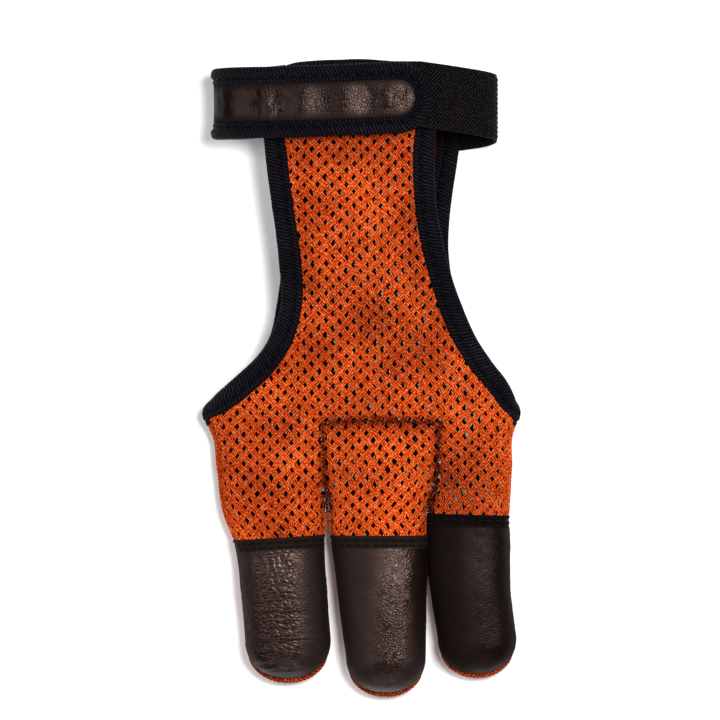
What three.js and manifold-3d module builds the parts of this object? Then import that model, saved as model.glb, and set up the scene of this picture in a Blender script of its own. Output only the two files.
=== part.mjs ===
// Archery glove for three fingers, lying on the back of the hand with its leather fingertips upward.
// Millimetres, +Z up. The wrist is towards +Y, the fingertips towards -Y and the thumb side towards -X.
// Tables hold shares: "at" is a share of the glove's length from the fingertips, "left", "right" and
// "x" are shares of half its width, and "depth" is a share of the depth that the table names.
import * as THREE from 'three';
import { mergeVertices } from 'three/addons/utils/BufferGeometryUtils.js';
import Module from 'manifold-3d';

const wasm = await Module();
wasm.setup();

// Overall size
const gloveLength = 197.6;
const gloveWidth = 99.2;
const wristDepth = 23;
const stallDepth = 14;
const seamHeight = 6.5;

// Walls and the air between sewn pieces
const netThickness = 1.6;
const leatherThickness = 1.4;
const leatherRise = 1.6;
const clearance = 0.3;

// Knitted tape round the open edges
const tapeWidth = 6.8;
const tapeThickness = 3.4;
const tapeRound = 1.2;
const tapePinch = 0.4;
const tapeWrap = 12;
const tapeAir = 0.4;

// Net: pitch of the real net, and how many of its pitches lie between two modelled gaps
const netPitchAcross = 4.3;
const netPitchAlong = 4.4;
const frontGapStep = 3;
const backGapStep = 4;
const gapWidth = 3;
const gapLength = 4.6;

// Wrist strap: a bound tab with a leather strip, closed over an elastic strap
const tabWidth = 21.2;
const tabTapeWidth = 5.5;
const tabBaseThickness = 1.2;
const tabLeatherThickness = 0.9;
const tabDrift = 1.7;
const elasticWidth = 20.2;
const elasticThickness = 1.5;
const elasticDrift = 6.4;
const hookThickness = 0.6;
const hookLength = 22;
const hookWidth = 9.4;
const leatherSink = 0.25;

// Leather tips: the bare rim of net round each end, and the number of facets of a section
const tipRim = 1.3;
const palmFacets = 26;
const stallFacets = 18;

// Shape numbers of a section: how square its upper half is, and how much of its underside lies flat
const crownPower = 2.6;
const palmFlat = 0.7;
const stallFlat = 0.45;
const tipPower = 2.2;
const noseShare = 0.12;
const sideShare = 0.985;

const halfWidth = gloveWidth / 2;
const lengthwise = (share) => (share - 0.5) * gloveLength;
const across = (share) => share * halfWidth;

// The hand: one flattened tube from the wrist to the roots of the fingers
const palmRows = [
  { at: 1.000, left: -0.850, right: 0.812, depth: 1.00 },
  { at: 0.874, left: -0.862, right: 0.825, depth: 0.97 },
  { at: 0.717, left: -0.895, right: 0.870, depth: 0.88 },
  { at: 0.560, left: -0.945, right: 0.935, depth: 0.78 },
  { at: 0.445, left: -0.975, right: 0.975, depth: 0.70 },
  { at: 0.403, left: -0.915, right: 0.940, depth: 0.66 },
  { at: 0.360, left: -0.900, right: 0.942, depth: 0.62 },
  { at: 0.325, left: -0.885, right: 0.935, depth: 0.55 },
  { at: 0.294, left: -0.862, right: 0.920, depth: 0.46 },
];

// The three finger stalls, from inside the palm to the shoulder where the round tip starts
const fingers = [
  {
    name: 'index',
    tipEnd: 0.022,
    hem: 0.2510,
    hemSlope: 0.06,
    rows: [
      { at: 0.400, left: -0.880, right: -0.200, depth: 0.78 },
      { at: 0.340, left: -0.887, right: -0.206, depth: 0.98 },
      { at: 0.290, left: -0.859, right: -0.219, depth: 1.02 },
      { at: 0.246, left: -0.794, right: -0.228, depth: 0.98 },
      { at: 0.184, left: -0.756, right: -0.219, depth: 1.00 },
      { at: 0.090, left: -0.725, right: -0.188, depth: 0.94 },
    ],
  },
  {
    name: 'middle',
    tipEnd: 0.000,
    hem: 0.2541,
    hemSlope: 0,
    rows: [
      { at: 0.400, left: -0.225, right: 0.480, depth: 0.80 },
      { at: 0.340, left: -0.220, right: 0.468, depth: 1.02 },
      { at: 0.290, left: -0.200, right: 0.416, depth: 1.06 },
      { at: 0.246, left: -0.188, right: 0.410, depth: 1.03 },
      { at: 0.184, left: -0.156, right: 0.412, depth: 1.05 },
      { at: 0.064, left: -0.094, right: 0.406, depth: 0.98 },
    ],
  },
  {
    name: 'ring',
    tipEnd: 0.030,
    hem: 0.2871,
    hemSlope: -0.03,
    rows: [
      { at: 0.400, left: 0.480, right: 0.925, depth: 0.76 },
      { at: 0.340, left: 0.450, right: 0.935, depth: 0.96 },
      { at: 0.290, left: 0.428, right: 0.925, depth: 1.00 },
      { at: 0.246, left: 0.428, right: 0.931, depth: 0.98 },
      { at: 0.168, left: 0.434, right: 0.934, depth: 1.00 },
      { at: 0.093, left: 0.480, right: 0.972, depth: 0.94 },
    ],
  },
];

// Places of the hand where the net sinks in: reach and drop are shares of the wrist's depth
const dents = [
  { at: 0.560, x: 0.200, reach: 0.75, drop: 0.09 },
  { at: 0.350, x: -0.600, reach: 0.55, drop: 0.06 },
  { at: 0.480, x: -0.300, reach: 0.70, drop: 0.05 },
  { at: 0.700, x: -0.050, reach: 0.80, drop: 0.05 },
];

// Middle line of the tape, from the side point of the palm up to the wrist, for both layers of the hand
const tapeTurn = 0.4345;
const frontLeftRows = [
  { at: 0.4455, x: -0.956 },
  { at: 0.4590, x: -0.881 },
  { at: 0.4878, x: -0.738 },
  { at: 0.5224, x: -0.591 },
  { at: 0.5600, x: -0.497 },
  { at: 0.6165, x: -0.431 },
  { at: 0.6918, x: -0.444 },
  { at: 0.7671, x: -0.484 },
  { at: 0.8424, x: -0.522 },
  { at: 0.9300, x: -0.545 },
  { at: 0.9640, x: -0.500 },
  { at: 0.9780, x: -0.400 },
];
const frontRightRows = [
  { at: 0.4455, x: 0.965 },
  { at: 0.4590, x: 0.925 },
  { at: 0.4850, x: 0.862 },
  { at: 0.5224, x: 0.744 },
  { at: 0.5600, x: 0.648 },
  { at: 0.6165, x: 0.550 },
  { at: 0.6918, x: 0.459 },
  { at: 0.7671, x: 0.403 },
  { at: 0.8424, x: 0.390 },
  { at: 0.9300, x: 0.405 },
  { at: 0.9640, x: 0.365 },
  { at: 0.9780, x: 0.265 },
];
const backLeftRows = [
  { at: 0.4455, x: -0.956 },
  { at: 0.4590, x: -0.890 },
  { at: 0.4878, x: -0.750 },
  { at: 0.5224, x: -0.605 },
  { at: 0.5600, x: -0.510 },
  { at: 0.6165, x: -0.462 },
  { at: 0.7170, x: -0.412 },
  { at: 0.8424, x: -0.388 },
  { at: 0.9200, x: -0.388 },
  { at: 0.9560, x: -0.345 },
  { at: 0.9690, x: -0.255 },
];
const backRightRows = [
  { at: 0.4455, x: 0.965 },
  { at: 0.4590, x: 0.925 },
  { at: 0.4850, x: 0.862 },
  { at: 0.5224, x: 0.744 },
  { at: 0.5600, x: 0.640 },
  { at: 0.6165, x: 0.541 },
  { at: 0.6918, x: 0.485 },
  { at: 0.7671, x: 0.495 },
  { at: 0.8580, x: 0.547 },
  { at: 0.9200, x: 0.562 },
  { at: 0.9560, x: 0.520 },
  { at: 0.9690, x: 0.430 },
];

// Seams of the middle finger's own front piece, up to the arched seam across its root
const middleSeamRows = [
  { at: 0.2940, left: -0.212, right: 0.425 },
  { at: 0.3400, left: -0.225, right: 0.468 },
  { at: 0.4180, left: -0.238, right: 0.487 },
];
const middleSeamTop = 0.4340;
const middleSeamRise = 0.004;

// Value of a column at a place between the rows, on a smooth curve through them
function columnAt(rows, column, at) {
  const ordered = [...rows].sort((a, b) => a.at - b.at);
  const last = ordered.length - 1;
  if (at <= ordered[0].at) return ordered[0][column];
  if (at >= ordered[last].at) return ordered[last][column];
  let i = 0;
  while (ordered[i + 1].at < at) i += 1;
  const slope = (j) => {
    const before = ordered[Math.max(j - 1, 0)];
    const after = ordered[Math.min(j + 1, last)];
    return (after[column] - before[column]) / (after.at - before.at);
  };
  const span = ordered[i + 1].at - ordered[i].at;
  const t = (at - ordered[i].at) / span;
  const start = (1 + 2 * t) * (1 - t) * (1 - t);
  const end = t * t * (3 - 2 * t);
  const leaving = t * (1 - t) * (1 - t) * span * slope(i);
  const arriving = t * t * (t - 1) * span * slope(i + 1);
  return start * ordered[i][column] + end * ordered[i + 1][column] + leaving + arriving;
}

const signedPower = (value, power) => Math.sign(value) * Math.abs(value) ** power;

// How far the dents lower the upper layer of the hand
function dentDrop(x, y) {
  let drop = 0;
  for (const dent of dents) {
    const reach = dent.reach * wristDepth;
    const distance = Math.hypot(x - across(dent.x), y - lengthwise(dent.at));
    drop += dent.drop * wristDepth * Math.exp(-((distance / reach) ** 2));
  }
  return drop;
}

// A section across a tube: middle, half width, seam height, rise above and drop below the seam
function tubeSection(y, left, right, top, seam, flat, inset, bottom = 0) {
  return {
    y,
    middle: (left + right) / 2,
    half: (right - left) / 2 - inset,
    seam,
    rise: top - seam - inset,
    drop: seam - bottom - inset,
    flat,
  };
}

// Point of a section: angle 0 is the right seam, a quarter turn the crown, the lower half has a flat sole
function sectionPoint(section, angle) {
  const c = Math.cos(angle);
  const s = Math.sin(angle);
  if (s >= 0) {
    const x = section.middle + section.half * signedPower(c, 2 / crownPower);
    return new THREE.Vector3(x, section.y, section.seam + section.rise * s ** (2 / crownPower));
  }
  const x = section.middle + section.half * (section.flat * Math.sign(c) + (1 - section.flat) * c);
  return new THREE.Vector3(x, section.y, section.seam + section.drop * s);
}

// Height and outward normal of a section at a distance across, on its upper or lower half
function sectionSurface(section, x, upper) {
  const u = THREE.MathUtils.clamp((x - section.middle) / section.half, -0.999, 0.999);
  if (upper) {
    const w = (1 - Math.abs(u) ** crownPower) ** (1 / crownPower);
    const power = crownPower - 1;
    const normal = new THREE.Vector3(signedPower(u, power) / section.half, 0, w ** power / section.rise);
    const point = new THREE.Vector3(x, section.y, section.seam + section.rise * w);
    return { point, normal: normal.normalize() };
  }
  const corner = Math.max(Math.abs(u) - section.flat, 0) / (1 - section.flat);
  const w = Math.sqrt(1 - corner * corner);
  const sideways = Math.sign(u) * corner / ((1 - section.flat) * section.half);
  const normal = new THREE.Vector3(sideways, 0, -w / section.drop);
  const point = new THREE.Vector3(x, section.y, section.seam - section.drop * w);
  return { point, normal: normal.normalize() };
}

function palmSection(at, inset) {
  const left = across(columnAt(palmRows, 'left', at));
  const right = across(columnAt(palmRows, 'right', at));
  const top = wristDepth * columnAt(palmRows, 'depth', at);
  return tubeSection(lengthwise(at), left, right, top, seamHeight, palmFlat, inset);
}

function palmSurface(x, y, upper, inset) {
  const section = palmSection(y / gloveLength + 0.5, inset);
  const surface = sectionSurface(section, x, upper);
  if (upper) surface.point.z -= dentDrop(x, y);
  return surface;
}

// Closed body from arrays of corner points and triangles, turned so that its faces point outward
function solidFrom(points, triangles) {
  let volume = 0;
  const edge = new THREE.Vector3();
  for (let i = 0; i < triangles.length; i += 3) {
    edge.crossVectors(points[triangles[i]], points[triangles[i + 1]]);
    volume += edge.dot(points[triangles[i + 2]]);
  }
  const order = volume > 0 ? triangles : [...triangles].reverse();
  return new wasm.Manifold(new wasm.Mesh({
    numProp: 3,
    vertProperties: new Float32Array(points.flatMap((p) => [p.x, p.y, p.z])),
    triVerts: new Uint32Array(order),
  }));
}

// Body through a row of rings with equal counts of points, capped at its ends or closed on itself
function loft(rings, closed = false) {
  const count = rings[0].length;
  const points = rings.flat();
  const triangles = [];
  const stretches = closed ? rings.length : rings.length - 1;
  for (let i = 0; i < stretches; i += 1) {
    const a = i * count;
    const b = ((i + 1) % rings.length) * count;
    for (let j = 0; j < count; j += 1) {
      const k = (j + 1) % count;
      triangles.push(a + j, a + k, b + k, a + j, b + k, b + j);
    }
  }
  if (!closed) {
    const last = (rings.length - 1) * count;
    for (let j = 1; j < count - 1; j += 1) {
      triangles.push(0, j + 1, j, last, last + j, last + j + 1);
    }
  }
  return solidFrom(points, triangles);
}

function fromGeometry(geometry) {
  geometry.deleteAttribute('normal');
  geometry.deleteAttribute('uv');
  const merged = mergeVertices(geometry);
  const position = merged.getAttribute('position');
  const points = [];
  for (let i = 0; i < position.count; i += 1) {
    points.push(new THREE.Vector3().fromBufferAttribute(position, i));
  }
  return solidFrom(points, [...merged.index.array]);
}

function block(minimum, maximum) {
  const size = new THREE.Vector3().subVectors(maximum, minimum);
  const geometry = new THREE.BoxGeometry(size.x, size.y, size.z);
  geometry.translate(minimum.x + size.x / 2, minimum.y + size.y / 2, minimum.z + size.z / 2);
  return fromGeometry(geometry);
}

function prism(corners, bottom, top) {
  const shape = new THREE.Shape(corners.map((p) => new THREE.Vector2(p.x, p.y)));
  const geometry = new THREE.ExtrudeGeometry(shape, { depth: top - bottom, bevelEnabled: false });
  geometry.translate(0, 0, bottom);
  return fromGeometry(geometry);
}

const steps = (count) => Array.from({ length: count }, (_, i) => i / (count - 1));

function ring(section, facets) {
  return Array.from({ length: facets }, (_, i) => sectionPoint(section, ((i + 0.5) / facets) * 2 * Math.PI));
}

// The palm's tube as a filled body; inset makes the hollow, which runs out through the wrist end
function palmBody(inset) {
  const first = palmRows[palmRows.length - 1].at;
  const stations = 12;
  const rings = steps(stations).map((share) => {
    const at = first + (1 - first) * share;
    const points = ring(palmSection(at, inset), palmFacets);
    for (const point of points) {
      if (point.z > seamHeight) point.z -= dentDrop(point.x, point.y);
    }
    return points;
  });
  if (inset > 0) {
    const past = rings[rings.length - 1].map((p) => p.clone().setY(p.y + tapeWidth));
    rings.push(past);
  }
  return loft(rings);
}

// A finger stall as a filled body: rows along the finger and a round end of its own length.
// grow widens it, crown raises its upper half and shorten draws its end back.
function stallBody(finger, { inset = 0, crown = 0, shorten = 0, grow = 0 }) {
  const shoulder = finger.rows[finger.rows.length - 1].at;
  const root = finger.rows[0].at;
  const stations = 5;
  const section = (at) => tubeSection(
    lengthwise(at),
    across(columnAt(finger.rows, 'left', at)) - grow,
    across(columnAt(finger.rows, 'right', at)) + grow,
    stallDepth * columnAt(finger.rows, 'depth', at) + crown,
    seamHeight,
    stallFlat,
    inset,
  );
  const rings = steps(stations).map((share) => ring(section(root + (shoulder - root) * share), stallFacets));
  const widest = section(shoulder);
  const capLength = (shoulder - finger.tipEnd) * gloveLength - shorten - inset;
  for (const turn of [0.25, 0.48, 0.68, 0.86]) {
    const along = Math.sin(turn * Math.PI / 2) ** (2 / tipPower);
    const narrow = Math.cos(turn * Math.PI / 2) ** (2 / tipPower);
    rings.push(ring({
      ...widest,
      y: widest.y - capLength * along,
      half: widest.half * narrow,
      rise: widest.rise * narrow,
      drop: widest.drop * narrow,
    }, stallFacets));
  }
  rings.push(ring({
    ...widest,
    y: widest.y - capLength,
    half: widest.half * noseShare,
    rise: widest.rise * noseShare,
    drop: widest.drop * noseShare,
  }, stallFacets));
  return loft(rings);
}

// Tape section: a flat band with rounded long edges, lying in the surface with the given normal
function tapeRing(point, tangent, normal, width, thickness) {
  const side = new THREE.Vector3().crossVectors(tangent, normal).normalize();
  const up = new THREE.Vector3().crossVectors(side, tangent).normalize();
  const w = width / 2;
  const t = thickness / 2;
  const r = Math.min(tapeRound, t * 0.7);
  const upperHalf = [[w, t - r], [w - r, t], [r - w, t], [-w, t - r]];
  const lowerHalf = upperHalf.map(([a, b]) => [-a, -b]);
  const outline = [...upperHalf, ...lowerHalf];
  return outline.map(([a, b]) => {
    const corner = point.clone().addScaledVector(side, a).addScaledVector(up, b);
    corner.z = Math.max(corner.z, 0);
    return corner;
  });
}

// One closed line round all open edges: up the front layer, over the wrist, round each side point
function edgeLine() {
  const onLayer = (rows, upper) => rows.map((row) => {
    const x = across(row.x);
    const y = lengthwise(row.at);
    const surface = palmSurface(x, y, upper, netThickness / 2);
    return surface.point;
  });
  const turn = (column) => {
    const x = across(columnAt(palmRows, column, tapeTurn));
    return new THREE.Vector3(x - Math.sign(x) * netThickness / 2, lengthwise(tapeTurn), seamHeight);
  };
  const points = [
    turn('left'),
    ...onLayer(frontLeftRows, true),
    ...onLayer([...frontRightRows].reverse(), true),
    turn('right'),
    ...onLayer(backRightRows, false),
    ...onLayer([...backLeftRows].reverse(), false),
  ];
  const curve = new THREE.CatmullRomCurve3(points, true, 'centripetal');
  curve.arcLengthDivisions = 800;
  return curve;
}

const edgeCurve = edgeLine();
const edgeTests = 800;

// Outward normal of the hand at a point of the edge line, found on the layer that the point lies on
function edgeNormal(point) {
  const section = palmSection(point.y / gloveLength + 0.5, netThickness / 2);
  const u = (point.x - section.middle) / section.half;
  const lift = (point.z - seamHeight) / section.drop;
  if (Math.abs(u) > sideShare) return new THREE.Vector3(Math.sign(u), 0, lift).normalize();
  return sectionSurface(section, point.x, point.z > seamHeight).normal;
}

// The tape narrows where it turns tightly round a side point of the palm
const turnPoints = [edgeCurve.getPointAt(0), edgeCurve.getPointAt(0)];
turnPoints[1].x = across(columnAt(palmRows, 'right', tapeTurn)) - netThickness / 2;

function pinchAt(point) {
  const away = Math.min(...turnPoints.map((turn) => turn.distanceTo(point)));
  return 1 - tapePinch * Math.exp(-((away / tapeWidth) ** 2));
}

function tapeRings(from, to, count, grow) {
  return steps(count).map((share) => {
    const place = (from + (to - from) * share + 1) % 1;
    const point = edgeCurve.getPointAt(place);
    const tangent = edgeCurve.getTangentAt(place);
    const width = tapeWidth * pinchAt(point) + 2 * grow;
    return tapeRing(point, tangent, edgeNormal(point), width, tapeThickness + 2 * grow);
  });
}

// Place on the edge line, as a share of its length, that lies nearest to a wanted test
function edgePlace(score) {
  let best = 0;
  for (let i = 1; i < edgeTests; i += 1) {
    const place = i / edgeTests;
    if (score(edgeCurve.getPointAt(place)) < score(edgeCurve.getPointAt(best))) best = place;
  }
  return best;
}

const stretchRings = 2;
const edgeLength = edgeCurve.getLength();
const rightTurn = new THREE.Vector3(halfWidth, lengthwise(tapeTurn), seamHeight);
const rightTurnPlace = edgePlace((p) => p.distanceTo(rightTurn));
const jointReach = tapeWrap / edgeLength;
const airShare = clearance / edgeLength;

function tapeBody({ from, to, count }) {
  return loft(tapeRings(from, to, count, 0));
}

// Room for the tape, joined from short stretches so that tight turns stay sound
function tapeRoom({ from, to, count }, grow) {
  const rings = tapeRings(from, to, count, grow);
  const stretches = [];
  for (let i = 0; i < rings.length - 1; i += stretchRings) {
    stretches.push(loft(rings.slice(i, i + stretchRings + 1)));
  }
  return stretches.reduce((body, stretch) => body.add(stretch));
}

// Plan of one layer inside the middle line of its tape, with everything below the side points
function layerPlan(from, to) {
  const corners = steps(90).map((share) => edgeCurve.getPointAt((from + (to - from) * share) % 1));
  const plan = corners.map((p) => ({ x: p.x, y: p.y }));
  const first = plan[0];
  const last = plan[plan.length - 1];
  const reach = gloveWidth;
  plan.push({ x: Math.sign(last.x) * reach, y: last.y });
  plan.push({ x: Math.sign(last.x) * reach, y: -gloveLength });
  plan.push({ x: Math.sign(first.x) * reach, y: -gloveLength });
  plan.push({ x: Math.sign(first.x) * reach, y: first.y });
  return plan;
}

// Plan of the middle finger's front piece, grown by the given distance
function middlePlan(grow) {
  const plan = [];
  const rows = middleSeamRows;
  for (const row of rows) plan.push({ x: across(row.right) + grow, y: lengthwise(row.at) });
  const low = rows[0];
  const high = rows[rows.length - 1];
  for (const share of steps(7)) {
    const x = across(high.right) + grow + (across(high.left) - across(high.right) - 2 * grow) * share;
    const arch = middleSeamRise * 4 * share * (1 - share);
    plan.push({ x, y: lengthwise(middleSeamTop + arch) + grow });
  }
  for (const row of [...rows].reverse()) plan.push({ x: across(row.left) - grow, y: lengthwise(row.at) });
  plan.push({ x: across(low.left) - grow, y: -gloveLength });
  plan.push({ x: across(low.right) + grow, y: -gloveLength });
  return plan;
}

// Block over one finger below its hem; the hem may run a little askew
function hemBlock(finger, bottom, move) {
  const left = across(finger.rows[3].left) - clearance;
  const right = across(finger.rows[3].right) + clearance;
  const y = lengthwise(finger.hem) + move;
  const lean = finger.hemSlope * (right - left) / 2;
  const low = -gloveLength;
  const reach = clearance + netThickness;
  return prism([
    { x: left - reach, y: low },
    { x: right + reach, y: low },
    { x: right + reach, y: y + lean },
    { x: left - reach, y: y - lean },
  ], bottom, wristDepth * 2);
}

// Diamond gaps of the net over a field, in staggered rows
function gapField({ from, to, left, right, step, bottom, top }) {
  const pitchX = netPitchAcross * step;
  const pitchY = netPitchAlong * step / 2;
  const gaps = [];
  const rows = Math.floor((to - from) / pitchY);
  const start = (from + to - rows * pitchY) / 2;
  for (let row = 0; row <= rows; row += 1) {
    const y = start + row * pitchY;
    const room = right(y) - left(y);
    const middle = (right(y) + left(y)) / 2;
    const count = Math.floor((room - gapWidth) / pitchX) + 1;
    const even = count - ((count + row) % 2 === 0 ? 0 : 1);
    for (let i = 0; i < even; i += 1) {
      const x = middle + (i - (even - 1) / 2) * pitchX;
      gaps.push(prism([
        { x: x + gapWidth / 2, y },
        { x, y: y + gapLength / 2 },
        { x: x - gapWidth / 2, y },
        { x, y: y - gapLength / 2 },
      ], bottom, top));
    }
  }
  return gaps;
}

const edgeRoom = tapeWidth / 2 + gapWidth;
const share = (y) => y / gloveLength + 0.5;
const betweenTapes = (rowsLeft, rowsRight) => ({
  left: (y) => across(columnAt(rowsLeft, 'x', share(y))) + edgeRoom,
  right: (y) => across(columnAt(rowsRight, 'x', share(y))) - edgeRoom,
});
const insideFinger = (finger, margin) => ({
  left: (y) => across(columnAt(finger.rows, 'left', share(y))) + margin,
  right: (y) => across(columnAt(finger.rows, 'right', share(y))) - margin,
});

function frontGaps() {
  const over = { step: frontGapStep, bottom: seamHeight, top: wristDepth * 2 };
  return [
    ...gapField({
      from: lengthwise(0.452), to: lengthwise(0.865), ...betweenTapes(frontLeftRows, frontRightRows), ...over,
    }),
    ...gapField({
      from: lengthwise(0.285), to: lengthwise(0.405), ...insideFinger(fingers[0], gapWidth), ...over,
    }),
    ...gapField({
      from: lengthwise(0.315), to: lengthwise(0.405), ...insideFinger(fingers[2], gapWidth), ...over,
    }),
  ];
}

function middleGaps() {
  const over = { step: frontGapStep, bottom: seamHeight, top: wristDepth * 2 };
  return gapField({
    from: lengthwise(0.290), to: lengthwise(0.415), ...insideFinger(fingers[1], gapWidth * 1.3), ...over,
  });
}

function backGaps() {
  const over = { step: backGapStep, bottom: -netThickness, top: seamHeight };
  const palmRoom = gapWidth * 3;
  return [
    ...gapField({
      from: lengthwise(0.465), to: lengthwise(0.900), ...betweenTapes(backLeftRows, backRightRows), ...over,
    }),
    ...gapField({
      from: lengthwise(0.330),
      to: lengthwise(0.430),
      left: (y) => across(columnAt(palmRows, 'left', share(y))) + palmRoom,
      right: (y) => across(columnAt(palmRows, 'right', share(y))) - palmRoom,
      ...over,
    }),
  ];
}

// Hollow net body of the whole hand, before it is parted into panels
const netOuter = fingers.reduce((body, finger) => body.add(stallBody(finger, {})), palmBody(0));
const netInner = fingers.reduce(
  (body, finger) => body.add(stallBody(finger, { inset: netThickness })),
  palmBody(netThickness),
);
const netShell = netOuter.subtract(netInner);

const frontTape = { from: -jointReach, to: rightTurnPlace + jointReach, count: 58 };
const backTape = { from: frontTape.to + airShare, to: 1 - jointReach - airShare, count: 38 };
const backRoom = { from: frontTape.to, to: 1 - jointReach, count: 38 };
const tapeCut = tapeRoom(frontTape, tapeAir).add(tapeRoom(backRoom, tapeAir));
const halfAir = clearance / 2;
const reachOut = gloveLength;
const aboveSeam = block(
  new THREE.Vector3(-reachOut, -reachOut, seamHeight + halfAir),
  new THREE.Vector3(reachOut, reachOut, reachOut),
);
const frontPlan = prism(layerPlan(0, rightTurnPlace), -wristDepth, wristDepth * 2);
const backPlan = prism(layerPlan(rightTurnPlace, 1), -wristDepth, wristDepth * 2);

function cutAll(body, tools) {
  return tools.reduce((left, tool) => left.subtract(tool), body);
}

// The largest part of a body that cuts have parted, without the small offcuts
function withoutOffcuts(body) {
  return body.decompose().reduce((a, b) => (b.volume() > a.volume() ? b : a));
}

function frontNet() {
  const hems = fingers.map((finger) => hemBlock(finger, seamHeight, clearance));
  return cutAll(netShell.intersect(aboveSeam).intersect(frontPlan), [tapeCut, ...hems]);
}

function frontPanel(front) {
  const cut = front.subtract(prism(middlePlan(halfAir), 0, wristDepth * 2));
  return withoutOffcuts(cutAll(cut, frontGaps()));
}

function middlePanel(front) {
  const piece = front.intersect(prism(middlePlan(-halfAir), 0, wristDepth * 2));
  return withoutOffcuts(cutAll(piece, middleGaps()));
}

function leatherTip(finger) {
  const outer = stallBody(finger, { crown: leatherRise, shorten: tipRim });
  const inner = stallBody(finger, { inset: leatherThickness, crown: leatherRise, shorten: tipRim });
  return outer.subtract(inner).intersect(hemBlock(finger, seamHeight + halfAir, 0));
}

function tipRoom(finger) {
  const crown = leatherRise + clearance;
  const room = stallBody(finger, { crown, shorten: tipRim - clearance, grow: clearance });
  return room.intersect(hemBlock(finger, seamHeight - halfAir, clearance));
}

function backPanel() {
  const aboveBack = block(
    new THREE.Vector3(-reachOut, -reachOut, seamHeight - halfAir),
    new THREE.Vector3(reachOut, reachOut, reachOut),
  );
  const hems = fingers.map((finger) => hemBlock(finger, 0, -clearance));
  const frontSide = cutAll(aboveBack, hems);
  const back = cutAll(netShell.intersect(backPlan), [tapeCut, frontSide, ...fingers.map(tipRoom)]);
  return withoutOffcuts(cutAll(back, backGaps()));
}

// Wrist loop: one section curve for the elastic and a wider one for the tab that closes over it
const tapeProud = (tapeThickness - netThickness) / 2;
const loopLeft = -0.9375;
const loopRight = 0.856;
const elasticTop = wristDepth + tapeProud + clearance + elasticThickness / 2;
const tabLift = (elasticThickness + hookThickness + tapeThickness) / 2 + clearance;
const tabTop = elasticTop + tabLift;
const tabMiddleY = lengthwise(0.9390);
const elasticMiddleY = lengthwise(0.9420);
const loopSeamShare = 0.46;
const tabFlat = 0.5;
const elasticFlat = 0.78;
const tabEndX = across(0.444);
const tabEndRadius = tabWidth / 2;
const elasticEndX = across(-0.20);

const tabLeft = across(loopLeft) + tapeThickness / 2;
const tabRight = across(loopRight) + tabLift;
const tabSection = tubeSection(
  0, tabLeft, tabRight, tabTop, tabTop * loopSeamShare, tabFlat, 0, tapeThickness / 2,
);
const elasticRight = across(loopRight) - elasticThickness / 2;
const elasticSeam = elasticTop * loopSeamShare;
const elasticSection = tubeSection(
  0, tabLeft + tabLift, elasticRight, elasticTop, elasticSeam, elasticFlat, 0, elasticThickness / 2,
);

// Points along a loop section from a start on the floor, over one side, to an end on the crown
function loopLine(section, startX, endX, count) {
  const fine = 400;
  const side = Math.sign(startX);
  const top = sectionSurface(section, endX, true).point;
  const path = [new THREE.Vector3(startX, 0, section.seam - section.drop)];
  for (const part of steps(fine)) {
    const angle = side > 0 ? -Math.PI / 2 + part * Math.PI : 1.5 * Math.PI - part * Math.PI;
    const point = sectionPoint(section, angle).setY(0);
    const pastStart = side * (point.x - startX) > 0 || point.z > section.seam;
    const beforeEnd = point.z < section.seam || side * (point.x - endX) > 0;
    if (pastStart && beforeEnd) path.push(point);
  }
  path.push(new THREE.Vector3(top.x, 0, top.z));
  const travelled = [0];
  for (let i = 1; i < path.length; i += 1) travelled.push(travelled[i - 1] + path[i].distanceTo(path[i - 1]));
  const total = travelled[travelled.length - 1];
  return steps(count).map((part) => {
    const wanted = part * total;
    let i = 1;
    while (i < path.length - 1 && travelled[i] < wanted) i += 1;
    const mix = (wanted - travelled[i - 1]) / Math.max(travelled[i] - travelled[i - 1], 1e-6);
    const point = path[i - 1].clone().lerp(path[i], THREE.MathUtils.clamp(mix, 0, 1));
    return { point, distance: wanted, total, fromLeft: side < 0 };
  });
}

// Strap body along a loop line: offset lifts it off the line, width may change along it
function strapBody(line, { width, thickness, offset, shift, middleY }) {
  const rings = line.map((place, i) => {
    const before = line[Math.max(i - 1, 0)].point;
    const after = line[Math.min(i + 1, line.length - 1)].point;
    const tangent = new THREE.Vector3().subVectors(after, before).normalize();
    const normal = new THREE.Vector3(-tangent.z, 0, tangent.x);
    const outward = normal.multiplyScalar(line[0].fromLeft ? 1 : -1);
    const w = width(place) / 2;
    const y = middleY + shift(place);
    const low = place.point.clone().addScaledVector(outward, offset - thickness / 2);
    const high = place.point.clone().addScaledVector(outward, offset + thickness / 2);
    return [
      new THREE.Vector3(low.x, y - w, low.z),
      new THREE.Vector3(high.x, y - w, high.z),
      new THREE.Vector3(high.x, y + w, high.z),
      new THREE.Vector3(low.x, y + w, low.z),
    ];
  });
  return loft(rings);
}

const strapSeam = 2 * clearance;
const backTapeLeft = across(columnAt(backLeftRows, 'x', 0.92)) - tapeWidth / 2 - strapSeam;
const backTapeRight = across(columnAt(backRightRows, 'x', 0.90)) + tapeWidth / 2 + strapSeam;
const tabLine = loopLine(tabSection, backTapeLeft, tabEndX, 24);
const tabFold = 0.34;
const tabShift = (place) => {
  const travel = place.distance / place.total - tabFold;
  const reach = travel < 0 ? tabFold * 0.75 : 1 - tabFold;
  return tabDrift * ((travel / reach) ** 2 - 1);
};
const elasticLine = loopLine(elasticSection, backTapeRight, elasticEndX, 26);
const elasticShift = (place) => -elasticDrift * Math.max(0, 1 - 1.25 * place.distance / place.total);

function roundedWidth(place, width, endX) {
  const radius = width / 2;
  const past = place.point.z > tabSection.seam ? place.point.x - (endX - radius) : 0;
  if (past <= 0) return width;
  return 2 * Math.sqrt(Math.max(radius * radius - past * past, (radius * 0.2) ** 2));
}

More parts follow.
